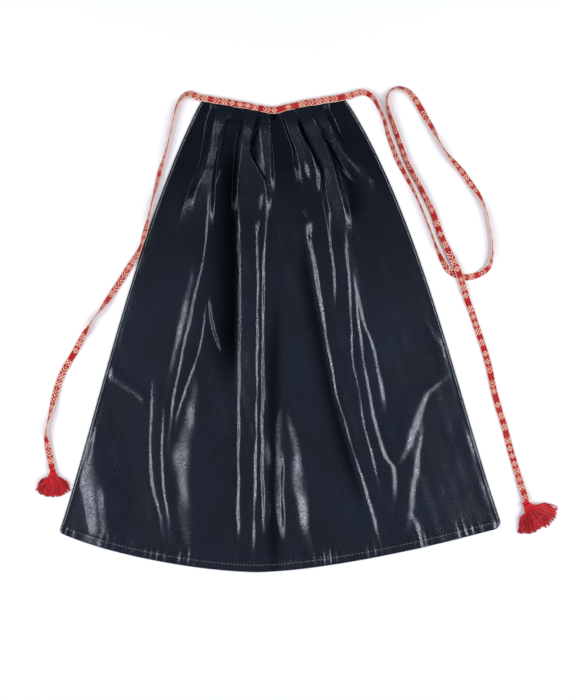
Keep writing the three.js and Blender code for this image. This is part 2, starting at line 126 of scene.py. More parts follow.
def mesh_object(name, vertices, faces, material, smooth=True):
    mesh = bpy.data.meshes.new(name)
    mesh.from_pydata([tuple(v) for v in vertices], [], [tuple(f) for f in faces])
    mesh.validate()
    mesh.polygons.foreach_set("use_smooth", [smooth] * len(mesh.polygons))
    obj = bpy.data.objects.new(name, mesh)
    bpy.context.collection.objects.link(obj)
    mesh.materials.append(material)
    return obj


def centripetal(points, samples=16):
    """A centripetal Catmull-Rom line through the points, with each sample's place along the list."""
    p = np.asarray(points, float)
    ends = np.vstack([2 * p[0] - p[1], p, 2 * p[-1] - p[-2]])
    out, places = [], []
    for i in range(len(p) - 1):
        a, b, c, d = ends[i:i + 4]
        knots = [0.0]
        for u, v in ((a, b), (b, c), (c, d)):
            knots.append(knots[-1] + max(np.linalg.norm(v - u), 1e-6) ** 0.5)
        t0, t1, t2, t3 = knots
        for k in range(samples + (i == len(p) - 2)):
            t = t1 + (t2 - t1) * k / samples
            ab = a + (b - a) * (t - t0) / (t1 - t0)
            bc = b + (c - b) * (t - t1) / (t2 - t1)
            cd = c + (d - c) * (t - t2) / (t3 - t2)
            left = ab + (bc - ab) * (t - t0) / (t2 - t0)
            right = bc + (cd - bc) * (t - t1) / (t3 - t1)
            out.append(left + (right - left) * (t - t1) / (t2 - t1))
            places.append(i + k / samples)
    return np.array(out), np.array(places)


def arc_lengths(points):
    return np.concatenate([[0], np.cumsum(np.linalg.norm(np.diff(points, axis=0), axis=1))])


def resample(points, step, *others):
    """The line at even steps, and the other columns at the same places."""
    length = arc_lengths(points)
    at = np.linspace(0, length[-1], max(2, int(round(length[-1] / step)) + 1))
    even = np.stack([np.interp(at, length, points[:, k]) for k in range(points.shape[1])], 1)
    return (even, at, *[np.interp(at, length, o) for o in others])


def softened(values, reach):
    """A running average over 2 * reach + 1 values, with the ends held."""
    padded = np.pad(values, reach, mode="edge")
    return np.convolve(padded, np.ones(2 * reach + 1) / (2 * reach + 1), mode="valid")


def frames_along(points, rolls):
    """Tangents, thin directions (up where the roll is 0) and directions across."""
    tangents = np.gradient(points, axis=0)
    tangents /= np.linalg.norm(tangents, axis=1)[:, None]
    across = np.cross([0, 0, 1.0], tangents)
    across /= np.linalg.norm(across, axis=1)[:, None]
    up = np.cross(tangents, across)
    c, s = np.cos(np.radians(rolls))[:, None], np.sin(np.radians(rolls))[:, None]
    return tangents, up * c + np.cross(tangents, up) * s, across * c + np.cross(tangents, across) * s


def ring_faces(rings, sides):
    """The faces between rings of vertices that follow one another, and then the two ends."""
    faces = []
    for i in range(rings - 1):
        for k in range(sides):
            a, b = i * sides + k, i * sides + (k + 1) % sides
            faces.append((a, b, b + sides, a + sides))
    faces.append(tuple(range(sides))[::-1])
    faces.append(tuple((rings - 1) * sides + k for k in range(sides)))
    return faces


def grid_faces(rows, columns):
    """The four-sided faces of a grid of vertices listed row by row."""
    index = np.arange(rows * columns).reshape(rows, columns)
    corners = (index[:-1, :-1], index[1:, :-1], index[1:, 1:], index[:-1, 1:])
    return np.stack(corners, -1).reshape(-1, 4)


def tube(points, radius, sides=6):
    """Vertices and faces of a round tube; radius is one number or one for each point."""
    points = np.asarray(points, float)
    tangents = np.gradient(points, axis=0)
    tangents /= np.maximum(np.linalg.norm(tangents, axis=1)[:, None], 1e-9)
    side = np.cross(tangents, [0.0, 0.0, 1.0])
    weak = np.linalg.norm(side, axis=1) < 1e-3
    side[weak] = np.cross(tangents[weak], [1.0, 0.0, 0.0])
    side /= np.linalg.norm(side, axis=1)[:, None]
    other = np.cross(side, tangents)
    radius = np.broadcast_to(np.asarray(radius, float), (len(points),))
    angle = np.arange(sides) * 2 * math.pi / sides
    ring = (
        side[:, None, :] * np.cos(angle)[None, :, None]
        + other[:, None, :] * np.sin(angle)[None, :, None]
    )
    vertices = (points[:, None, :] + ring * radius[:, None, None]).reshape(-1, 3)
    return vertices, ring_faces(len(points), sides)


def square(reach, height):
    """Vertices and the one face of a square that reaches so far each way."""
    corners = ((-1, -1), (1, -1), (1, 1), (-1, 1))
    return [(x * reach, y * reach, height) for x, y in corners], [(0, 1, 2, 3)]


def join(parts):
    """One list of vertices and faces from several."""
    vertices, faces, first = [], [], 0
    for v, f in parts:
        vertices.append(np.asarray(v, float))
        faces.extend(tuple(i + first for i in face) for face in f)
        first += len(v)
    return np.vstack(vertices), faces


# ---- Materials -------------------------------------------------------------------------------


class Nodes:
    """A material's node tree, with short calls for what is used here."""

    def __init__(self, name):
        self.material = bpy.data.materials.new(name)
        self.material.use_nodes = True
        self.tree = self.material.node_tree
        self.shader = next(n for n in self.tree.nodes if n.type == "BSDF_PRINCIPLED")

    def add(self, kind, inputs=(), **settings):
        node = self.tree.nodes.new(kind)
        for key, value in settings.items():
            setattr(node, key, value)
        for key, value in dict(inputs).items():
            self.put(node.inputs[key], value)
        return node

    def put(self, socket, value):
        if isinstance(value, bpy.types.NodeSocket):
            self.tree.links.new(value, socket)
        else:
            socket.default_value = value

    def set(self, **values):
        for key, value in values.items():
            self.put(self.shader.inputs[key.replace("_", " ")], value)

    def math(self, operation, *values):
        node = self.add("ShaderNodeMath", operation=operation)
        for i, value in enumerate(values):
            self.put(node.inputs[i], value)
        return node.outputs[0]

    def noise(self, vector, scale, detail=2.0, roughness=0.5):
        node = self.add(
            "ShaderNodeTexNoise",
            {"Vector": vector, "Scale": scale, "Detail": detail, "Roughness": roughness},
        )
        return node.outputs["Fac"]

    def spread(self, value, low, high, to_low, to_high):
        node = self.add(
            "ShaderNodeMapRange",
            {"Value": value, "From Min": low, "From Max": high, "To Min": to_low, "To Max": to_high},
        )
        return node.outputs[0]

    def mix(self, share, a, b):
        node = self.add("ShaderNodeMix", data_type="RGBA")
        self.put(node.inputs[0], share)
        self.put(node.inputs[6], a)
        self.put(node.inputs[7], b)
        return node.outputs[2]

    def bump(self, height, distance, strength=1.0, normal=None):
        inputs = {"Height": height, "Distance": distance, "Strength": strength}
        if normal is not None:
            inputs["Normal"] = normal
        return self.add("ShaderNodeBump", inputs).outputs[0]


def rgb(r, g, b):
    """A colour given as shown on screen, 0 to 255, as linear light."""
    out = []
    for value in (r, g, b):
        value /= 255
        out.append(value / 12.92 if value <= 0.04045 else ((value + 0.055) / 1.055) ** 2.4)
    return (*out, 1.0)


def glazed_wool():
    """Navy tabby, pressed to a shine: a hard coat over a fine grain that breaks up its highlights.

    The painted shade attribute darkens the colour to near black where shade falls, and takes away the
    coat's gloss and the haze below it.
    """
    n = Nodes("glazed_wool")
    place = n.add("ShaderNodeTexCoord").outputs["Object"]
    grain = n.noise(place, 700, 2.0, 0.6)
    patches = n.noise(place, 9, 3.0, 0.55)
    slubs = n.noise(
        n.add("ShaderNodeMapping", {"Vector": place, "Scale": (900, 60, 60)}).outputs[0], 1.0, 2.0
    )
    colour = n.mix(n.spread(patches, 0.3, 0.7, 0.0, 1.0), rgb(9, 17, 29), rgb(14, 24, 39))
    weave = n.math("ADD", n.math("MULTIPLY", grain, 0.8), n.math("MULTIPLY", slubs, 0.1))
    painted_shade = n.add("ShaderNodeVertexColor", layer_name="painted_shade").outputs["Color"]
    # Painted shade: the colour is blended towards near black, rgb(3, 4, 7), as far as the vertex colour
    # attribute of painted shade says.
    colour = n.mix(painted_shade, colour, rgb(3, 4, 7))
    mottle = n.math("ADD", grain, n.math("MULTIPLY", patches, 0.5))
    rough = n.spread(mottle, 0.45, 1.05, 0.14, 0.2)
    bumped = n.bump(weave, 0.0002, 0.9)
    n.set(Base_Color=colour, Roughness=0.36, Normal=n.bump(weave, 0.00008, 0.6))
    glint = n.spread(n.noise(place, 800, 2.0, 0.6), 0.38, 0.6, 0.1, 1.0)
    gloss = n.math("MULTIPLY", glint, n.spread(painted_shade, 0.0, 1.0, 1.0, 0.08))
    haze = n.spread(painted_shade, 0.0, 1.0, 0.12, 0.01)
    n.set(Specular_IOR_Level=haze)
    n.set(Coat_IOR=1.9, Coat_Weight=gloss, Coat_Roughness=rough, Coat_Normal=bumped)
    n.set(Sheen_Weight=0.01, Sheen_Roughness=0.5, Sheen_Tint=rgb(100, 125, 180))
    return n.material


def woven_band():
    """Reads each cell's colour, with fibre fuzz over it as a fine bump."""
    n = Nodes("woven_band")
    cell = n.add("ShaderNodeVertexColor", layer_name="weave").outputs["Color"]
    place = n.add("ShaderNodeTexCoord").outputs["Object"]
    fuzz = n.noise(place, 1400, 3.0, 0.6)
    fade = n.noise(place, 45, 2.0, 0.5)
    shaded = n.mix(n.spread(fuzz, 0.3, 0.75, 0.0, 0.35), cell, rgb(120, 20, 26))
    shaded = n.mix(n.spread(fade, 0.35, 0.7, 0.0, 0.1), shaded, rgb(226, 150, 128))
    n.set(Base_Color=shaded, Roughness=0.88, Sheen_Weight=0.25, Sheen_Roughness=0.4)
    n.set(Specular_IOR_Level=0.25, Normal=n.bump(fuzz, 0.0004, 0.6))
    return n.material


def yarn(name, dark, light, scale=700):
    """Spun thread, a little lighter or darker from strand to strand."""
    n = Nodes(name)
    place = n.add("ShaderNodeTexCoord").outputs["Object"]
    fibre = n.noise(place, scale, 3.0, 0.6)
    strand_tone = n.add("ShaderNodeNewGeometry").outputs["Random Per Island"]
    share = n.math("ADD", n.math("MULTIPLY", fibre, 0.55), n.math("MULTIPLY", strand_tone, 0.6))
    colour = n.mix(n.spread(share, 0.2, 0.85, 0.0, 1.0), dark, light)
    n.set(Base_Color=colour, Roughness=0.9, Sheen_Weight=0.35, Sheen_Roughness=0.4)
    n.set(Specular_IOR_Level=0.2, Normal=n.bump(fibre, 0.0003, 0.5))
    return n.material


def table_top():
    n = Nodes("table_top")
    place = n.add("ShaderNodeTexCoord").outputs["Object"]
    tone = n.noise(place, 1.4, 2.0, 0.5)
    n.set(Base_Color=n.mix(tone, rgb(250, 249, 251), rgb(246, 248, 245)), Roughness=0.9)
    n.set(Specular_IOR_Level=0.1)
    return n.material


WOOL = glazed_wool()
BAND = woven_band()
TASSEL = yarn("tassel_yarn", rgb(126, 8, 20), rgb(220, 42, 50))
RED_THREAD = yarn("red_thread", rgb(128, 20, 28), rgb(186, 38, 46))
PALE_THREAD = yarn("pale_thread", rgb(104, 116, 114), rgb(176, 184, 176), 1200)
LINEN = yarn("linen_tape", rgb(188, 176, 150), rgb(222, 212, 190), 900)

# ---- Camera, table and light -----------------------------------------------------------------

VIEW_CENTRE = Vector((0.0082, -0.0278, 0))
VIEW_HEIGHT = 3.0
VIEW_SPAN = 1.1438  # the table's length seen along the picture's long side
TABLE_REACH, TABLE_Z = 30, -0.0004
COOL = (0.82, 0.87, 1.0)
SURROUNDINGS = (1.0, 0.98, 1.0, 1)
SKY_HEIGHTS = (0.02, 0.4)  # where the surroundings start and stop darkening upwards
SKY_STRENGTHS = (0.4, 0.085)
SOFTBOX_POWER = 29.5
STRIP_POWERS = {"left": 34, "right": 42}


def add_camera():
    data = bpy.data.cameras.new("camera")
    data.sensor_width = 36
    data.lens = data.sensor_width * VIEW_HEIGHT / VIEW_SPAN
    camera = bpy.data.objects.new("camera", data)
    bpy.context.collection.objects.link(camera)
    camera.location = VIEW_CENTRE + Vector((0, 0, VIEW_HEIGHT))
    bpy.context.scene.camera = camera


def area_light(name, location, target, size, power, colour=(1, 1, 1)):
    data = bpy.data.lights.new(name, "AREA")
    data.shape = "RECTANGLE"
    data.size, data.size_y = size
    data.energy = power
    data.color = colour
    light = bpy.data.objects.new(name, data)
    bpy.context.collection.objects.link(light)
    light.location = location
    back = (Vector(location) - Vector(target)).normalized()
    right = Vector((0, 1, 0)).cross(back).normalized()
    light.rotation_euler = Matrix((right, back.cross(right), back)).transposed().to_euler()
    return light


def add_table():
    table = mesh_object("table", *square(TABLE_REACH, TABLE_Z), table_top())


def add_surroundings():
    """A plain pale world, brightest at the horizon."""
    world = bpy.data.worlds.new("studio")
    bpy.context.scene.world = world
    world.use_nodes = True
    tree = world.node_tree
    background = tree.nodes["Background"]
    background.inputs["Color"].default_value = SURROUNDINGS
    height = tree.nodes.new("ShaderNodeSeparateXYZ")
    tree.links.new(tree.nodes.new("ShaderNodeTexCoord").outputs["Generated"], height.inputs[0])
    fall = tree.nodes.new("ShaderNodeMapRange")
    sockets = ("From Min", "From Max", "To Min", "To Max")
    for socket, value in zip(sockets, (*SKY_HEIGHTS, *SKY_STRENGTHS)):
        fall.inputs[socket].default_value = value
    tree.links.new(height.outputs["Z"], fall.inputs["Value"])
    tree.links.new(fall.outputs[0], background.inputs["Strength"])


def add_lights():
    """On each side a softbox, which no highlight shows, and a long strip for the narrow highlights."""
    for name, side in (("left", -1), ("right", 1)):
        softbox = area_light(
            f"{name}_softbox", (side * 1.9, 0.1, 1.7), (0, 0, 0), (1.0, 1.4), SOFTBOX_POWER
        )
        softbox.visible_glossy = False
        area_light(
            f"{name}_strip", (side * 1.5, -0.5, 3.0), (0, -0.1, 0), (0.2, 2.8), STRIP_POWERS[name], COOL
        )


add_camera()
add_table()
add_surroundings()
add_lights()
bpy.context.scene.view_settings.view_transform = "Standard"

# ---- The woven band --------------------------------------------------------------------------

CELL = 0.0009  # one pick along the band
CELLS_ACROSS = 13
RED = np.array(rgb(190, 24, 34))
DEEP_RED = np.array(rgb(156, 16, 26))
CREAM = np.array(rgb(252, 226, 200))
PEACH = np.array(rgb(240, 168, 142))
MOTIF_HALF = 6  # picks either side of a motif's middle
GROUND_PICKS = [1, 2, 8, 13]  # plain stretches between motifs, and how often each comes
GROUND_ODDS = [0.35, 0.3, 0.2, 0.15]


def motif_cross(i, j):
    return abs(i) - abs(j) in (0, 1) or abs(i) + abs(j) == 6


def motif_diamond(i, j):
    return abs(i) + abs(j) in (0, 1, 4, 5)


def motif_double(i, j):
    return abs(i) + abs(j) in (2, 3, 6)


def motif_lattice(i, j):
    return (i + j) % 6 in (0, 1) or (i - j) % 6 == 0


def motif_zigzag(i, j):
    return (j + abs(i)) % 6 in (0, 1)


MOTIFS = [motif_cross, motif_diamond, motif_double, motif_lattice, motif_zigzag]


def weave_colours(picks, seed):
    """A colour for each cell: beaded pale edges, a red ground and blocks of cream motifs on it."""
    draw = np.random.default_rng(seed)
    colours = np.zeros((picks, CELLS_ACROSS, 4))
    half = CELLS_ACROSS // 2
    plan = []
    while len(plan) < picks:
        motif = MOTIFS[draw.integers(0, len(MOTIFS))]
        plan += [(motif, j) for j in range(-MOTIF_HALF, MOTIF_HALF + 1)]
        plan += [(None, 0)] * int(draw.choice(GROUND_PICKS, p=GROUND_ODDS))
    for p in range(picks):
        motif, j = plan[p]
        for c in range(CELLS_ACROSS):
            i = c - half
            base = DEEP_RED if draw.random() < 0.3 else RED
            if abs(i) == half:
                base = CREAM if p % 3 else PEACH
            elif motif and abs(i) < half and motif(i, j):
                base = CREAM if draw.random() < 0.8 else PEACH
            colours[p, c] = base * draw.uniform(0.84, 1.06)
    return np.clip(colours, 0, 1)


EDGE_WAVES = ((0.02, 310), (0.012, 1170))  # the band's uneven width: share of it, radians a metre
EDGE_THINNING = 0.55  # how much thinner the band is at its edges


def band_mesh(name, points, rolls, seed):
    """A flat closed band with softened edges and a face for each pick of the weave."""
    line, at, roll = resample(points, CELL, rolls)
    _, up, across = frames_along(line, roll)
    stations = len(line)
    share = np.linspace(-1, 1, CELLS_ACROSS + 1)
    (slow, slow_rate), (fast, fast_rate) = EDGE_WAVES
    uneven = 1 + slow * np.sin(at * slow_rate + seed) + fast * np.sin(at * fast_rate)
    half_width = BAND_WIDTH / 2 * uneven
    crown = BAND_THICKNESS / 2 * (1 - EDGE_THINNING * np.abs(share) ** 6)
    top = (
        line[:, None, :]
        + across[:, None, :] * (half_width[:, None] * share[None, :])[:, :, None]
        + up[:, None, :] * crown[None, :, None]
    )
    under = top - 2 * up[:, None, :] * crown[None, :, None]
    wide = CELLS_ACROSS + 1
    vertices = np.concatenate([top, under[:, ::-1]], axis=1).reshape(-1, 3)
    around = 2 * wide
    obj = mesh_object(name, vertices, ring_faces(stations, around), BAND)
    columns = [k if k < CELLS_ACROSS else max(around - 2 - k, 0) for k in range(around)]
    cells = [(p, min(c, CELLS_ACROSS - 1)) for p in range(stations - 1) for c in columns]
    cells += [(0, 0), (stations - 2, 0)]
    colours = weave_colours(stations - 1, seed)
    attribute = obj.data.color_attributes.new("weave", "FLOAT_COLOR", "CORNER")
    flat = []
    for polygon, (p, c) in zip(obj.data.polygons, cells):
        flat.extend(list(colours[p, c]) * polygon.loop_total)
    attribute.data.foreach_set("color", np.array(flat, np.float32))
    return obj, line


def waist_line():
    shape = [(WAIST_OFFSET + a * WAIST_WIDTH, WAIST_Y - b * WAIST_SAG, 0) for a, b in WAIST_SHAPE]
    line, _ = centripetal(shape, 40)
    return line


WAIST = waist_line()


def band_over_waist():
    """The waist line at the band's height, run on past both corners of the cloth."""
    start_way = WAIST[0] - WAIST[1]
    end_way = WAIST[-1] - WAIST[-2]
    start = WAIST[0] + start_way / np.linalg.norm(start_way) * BAND_OVERHANG
    end = WAIST[-1] + end_way / np.linalg.norm(end_way) * BAND_OVERHANG
    line = np.vstack([start, WAIST, end])
    line[:, 2] = BAND_Z
    return line


WAISTBAND = band_over_waist()


def rest_height(roll):
    angle = np.radians(roll)
    tilted = BAND_WIDTH / 2 * np.sin(angle) + BAND_THICKNESS / 2 * np.cos(angle)
    return tilted + CLEARANCE


def tie_line(end, before_end, route):
    """The tie's line and rolls: a straight lead from the waistband's end, then the route."""
    way = (end - before_end) / np.linalg.norm(end - before_end)
    start = end + way * CLEARANCE
    lead = start + way * TIE_LEAD
    points = [start, lead] + [
        (x * MM, y * MM, rest_height(roll) + lift * MM) for x, y, roll, lift in route
    ]
    rolls = [0.0, LEAD_ROLL] + [r[2] for r in route]
    line, places = centripetal(points)
    rolled = np.interp(places, np.arange(len(rolls)), rolls)
    even, _, roll = resample(line, TIE_STEP, rolled)
    return even, softened(roll, 4)


def add_tie(side, end, before_end, route, seed):
    line, rolls = tie_line(end, before_end, route)
    tie, centres = band_mesh(f"{side}_tie_band", line, rolls, seed)
    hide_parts(f"{side}_tie")
    return tie, line, centres


left_band, left_line, left_centres = add_tie(
    "left", WAISTBAND[0], WAISTBAND[1], LEFT_TIE_ROUTE, 11
)
right_band, right_line, right_centres = add_tie(
    "right", WAISTBAND[-1], WAISTBAND[-2], RIGHT_TIE_ROUTE, 23
)

# ---- Tassels ---------------------------------------------------------------------------------

TASSEL_SIZES = {
    "left": {"head": 0.009, "width": 0.049, "length": 0.037, "turn": -7},
    "right": {"head": 0.011, "width": 0.056, "length": 0.042, "turn": 17},
}
LOBES = {
    "left": [(-34, 38, 0.97), (34, 38, 0.97), (0, 40, 1.0)],
    "right": [(-40, 30, 1.0), (34, 30, 1.08), (0, 30, 0.95)],
}  # each a middle angle, a spread either side and a length share
SWEEP = {"left": (1.05, 0.2), "right": (1.2, 0.4)}  # of a strand's angle, at its root and its tip
STRANDS = 280
STRAND_RADIUS = 0.00074
STRAND_STEPS = 10
STRAND_CURL = (0.1, 0.45)  # radians that a strand wanders from its way
STRAND_LEVEL = 0.0075  # the most that a strand arches above its sag
NECK = 0.45  # where the skirt leaves the head, as a share of the head's size
SKIRT_FLOOR = 0.0006  # the lowest that the yarn lies
HEAD_TURNS = 11
HEAD_TURN_PITCH = 0.0012
HEAD_STRANDS = 34
HEAD_FLATTENING = 0.6  # height over width where the tassel lies on the table
WRAP_TURNS = 5
WRAP_PITCH = 0.0008
WRAP_RADIUS = 0.0005
WRAP_START, WRAP_WIDTH = 0.42, 0.92  # shares of the head's size
ROUND_STEPS = 24


def tassel_places(side, line):
    """The tassel's own frame: its head's centre, the way it hangs and the way across."""
    size = TASSEL_SIZES[side]
    way = line[-1] - line[-3]
    way = np.array([way[0], way[1], 0]) / np.linalg.norm(way[:2])
    centre = line[-1] + way * (size["head"] + CLEARANCE)
    low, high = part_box(f"{side}_tassel_head")
    centre[2] = (low.z + high.z) / 2
    heading = math.atan2(way[0], -way[1]) + math.radians(size["turn"])
    down = np.array([math.sin(heading), -math.cos(heading), 0])
    across = np.array([math.cos(heading), math.sin(heading), 0])
    return centre, down, across


def strand(centre, down, across, angles, reach, level, head):
    """One cut length of yarn, from inside the neck out to the fringe, sagging on to the table."""
    first, last = angles
    low = SKIRT_FLOOR + STRAND_RADIUS
    curl, phase = random.uniform(*STRAND_CURL), random.uniform(0, 2 * math.pi)
    aside = 0.6 * math.sin(first) + random.uniform(-0.15, 0.15)
    place = centre + down * head * NECK + across * head * aside
    points = []
    for k in range(STRAND_STEPS + 1):
        t = k / STRAND_STEPS
        angle = first + (last - first) * t + curl * math.sin(phase + 6 * t)
        fallen = low + (centre[2] - low) * (1 - smoothstep(t, 0.1, 1.0)) * 0.8
        arch = math.sin(math.pi * min(1.0, 0.35 + 0.65 * t)) * level
        points.append(np.array([place[0], place[1], max(low, fallen + arch)]))
        place = place + (down * math.cos(angle) + across * math.sin(angle)) * reach / STRAND_STEPS
    return tube(points, STRAND_RADIUS * random.uniform(0.8, 1.15), 6)


def turn_round(centre, down, across, along, radius, pitch):
    """One turn of thread round a tassel that lies on the table, moving on by the pitch."""
    points = []
    for m in range(ROUND_STEPS + 1):
        angle = m * 2 * math.pi / ROUND_STEPS
        point = centre + down * (along + pitch * m / ROUND_STEPS) + across * radius * math.cos(angle)
        points.append(point + np.array([0, 0, radius * HEAD_FLATTENING * math.sin(angle)]))
    return points


def skirt_parts(side, centre, down, across):
    size = TASSEL_SIZES[side]
    parts = []
    for k in range(STRANDS):
        middle, spread, share = LOBES[side][k % len(LOBES[side])]
        angle = math.radians(middle + spread * random.uniform(-1, 1))
        angles = (angle * SWEEP[side][0], angle * SWEEP[side][1])
        reach = (size["length"] * share - size["head"] * NECK) * random.uniform(0.84, 1.06)
        level = random.uniform(0.1, 1.0) * STRAND_LEVEL
        parts.append(strand(centre, down, across, angles, reach, level, size["head"]))
    return parts


def head_parts(head, centre, down, across):
    """The band's end bound round and round, over folded yarn that widens below it."""
    parts = []
    for k in range(HEAD_TURNS):
        t = k / (HEAD_TURNS - 1)
        radius = head * (0.46 + 0.46 * smoothstep(t, 0.2, 1.0))
        turn = turn_round(centre, down, across, head * (1.5 * t - 0.98), radius, HEAD_TURN_PITCH)
        parts.append(tube(turn, head * 0.085, 6))
    for k in range(HEAD_STRANDS):
        angle = k * 2 * math.pi / HEAD_STRANDS
        spine = []
        for m in range(8):
            t = m / 7
            radius = head * (0.4 + 0.48 * smoothstep(t, 0.2, 1.0))
            point = centre + down * head * (1.55 * t - 0.95) + across * radius * math.cos(angle)
            spine.append(point + np.array([0, 0, radius * HEAD_FLATTENING * math.sin(angle)]))
        parts.append(tube(spine, head * 0.1, 6))
    return parts


def wrap_parts(head, centre, down, across):
    """The neck's binding: a few turns of thread side by side."""
    turns = []
    for k in range(WRAP_TURNS):
        along = head * WRAP_START + WRAP_PITCH * k
        turns.append(turn_round(centre, down, across, along, head * WRAP_WIDTH, WRAP_PITCH))
    return [tube(turn, WRAP_RADIUS, 6) for turn in turns]


def add_tassel(side, line):
    centre, down, across = tassel_places(side, line)
    head = TASSEL_SIZES[side]["head"]
    kinds = (
        ("yarn", "skirt", skirt_parts(side, centre, down, across), TASSEL, "tassel_yarn"),
        ("bound_head", "head", head_parts(head, centre, down, across), TASSEL, "tassel_yarn"),
        ("binding", "neck_wrap", wrap_parts(head, centre, down, across), RED_THREAD, "red_thread"),
    )
    pieces = []
    for name, node, parts, material, slot in kinds:
        piece = mesh_object(f"{side}_tassel_{name}", *join(parts), material)
        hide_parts(f"{side}_tassel_{node}")
        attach(piece, f"{side}_tassel")
        pieces.append(piece)
    return pieces


left_tassel = add_tassel("left", left_line)
right_tassel = add_tassel("right", right_line)

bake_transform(left_band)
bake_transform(right_band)

# ---- The panel's plan, as in the CAD source --------------------------------------------------


def waist_edge(s):
    length = arc_lengths(WAIST)
    at = np.asarray(s, float) * length[-1]
    x, y = (np.interp(at, length, WAIST[:, k]) for k in (0, 1))
    return np.stack([x, y + CLOTH_TUCK], -1)


HEM_SKEW, HEM_ROUNDNESS = 0.87, 1.6
BOW_UPPER, BOW_LOWER, BOW_PEAK = 0.75, 1.6, 0.23  # how full the sides bow along their length
HEM_CORNER_Y = WAIST_Y - WAIST_SAG + CLOTH_TUCK - CLOTH_LENGTH + HEM_SAG


def hem_edge(s):
    s = np.asarray(s, float)
    sag = HEM_SAG * (1 - np.abs(2 * s ** HEM_SKEW - 1) ** HEM_ROUNDNESS)
    return np.stack([(s - 0.5) * HEM_WIDTH, HEM_CORNER_Y - HEM_CORNER_DROP * (1 - s) - sag], -1)


def plan_point(s, t):
    """The flat outline's point at share s across and share t down; both may be arrays."""
    s, t = np.broadcast_arrays(np.asarray(s, float), np.asarray(t, float))
    full = t ** BOW_UPPER * (1 - t) ** BOW_LOWER / BOW_PEAK

    def side(where, bow):
        edge = waist_edge(where) * (1 - t)[..., None] + hem_edge(where) * t[..., None]
        edge[..., 0] += full * bow
        return edge

    left, right = side(0.0, -LEFT_BOW), side(1.0, RIGHT_BOW)
    s1, t1 = s[..., None], t[..., None]
    point = left * (1 - s1) + right * s1 + waist_edge(s) * (1 - t1) + hem_edge(s) * t1
    top = waist_edge(0.0) * (1 - s1) + waist_edge(1.0) * s1
    hem = hem_edge(0.0) * (1 - s1) + hem_edge(1.0) * s1
    return point - top * (1 - t1) - hem * t1


# ---- The panel's folds -----------------------------------------------------------------------

# Knife pleats, whose folded edges face the middle and lean over the cloth beside them: height, width
# of the left flank and of the right one, the lean, and the face's left and right edges down from the
# band as (x left, x right, y), all in millimetres.
PLEATS = {
    "left_outer": (8.5, 9, 3.5, 0.6, [
        (-104, -82, 364), (-111, -95, 343), (-114, -102, 323), (-117, -108, 302), (-121, -111, 282),
        (-126, -113, 262), (-134, -115, 240), (-142, -118, 200), (-147, -123, 150),
    ]),
    "left_second": (3.0, 6, 4, 0.5, [(-83, -63, 364), (-85, -66, 343), (-88, -70, 323), (-90, -74, 300)]),
    "left_third": (10.0, 4, 4, 0.5, [
        (-58, -37, 362), (-60, -42, 343), (-65, -49, 323), (-68, -56, 302), (-69, -50, 282),
        (-70, -38, 262), (-70, -28, 243), (-70, -26, 215), (-70, -32, 170),
    ]),
    "left_inner": (7.5, 9, 3, 0.6, [
        (-36, -27, 362), (-38, -26, 343), (-36, -24, 323), (-33, -21, 302), (-28, -20, 282),
        (-23, -19, 262), (-20, -18, 241), (-19, -17, 205),
    ]),
    "right_inner": (7.5, 5, 4, -0.5, [
        (6, 26, 354), (11, 27, 343), (19, 35, 323), (27, 47, 302), (31, 53, 282), (35, 56, 262),
        (38, 57, 240), (42, 58, 212),
    ]),
    "right_second": (9.5, 4, 4, -0.5, [
        (28, 49, 362), (39, 58, 343), (47, 71, 323), (56, 76, 302), (65, 82, 282), (72, 88, 262),
        (74, 92, 241), (76, 98, 221), (84, 103, 190), (92, 106, 150),
    ]),
    "right_outer": (7.0, 4, 7, -0.5, [
        (50, 70, 364), (62, 80, 343), (76, 88, 323), (88, 98, 302), (99, 111, 282), (112, 124, 262),
        (134, 146, 240), (160, 172, 212),
    ]),
}
PLEAT_FADE = 0.12  # length over which a pleat's foot runs out into the cloth
PLEAT_SPREAD = 1.5  # how much wider its flanks get there

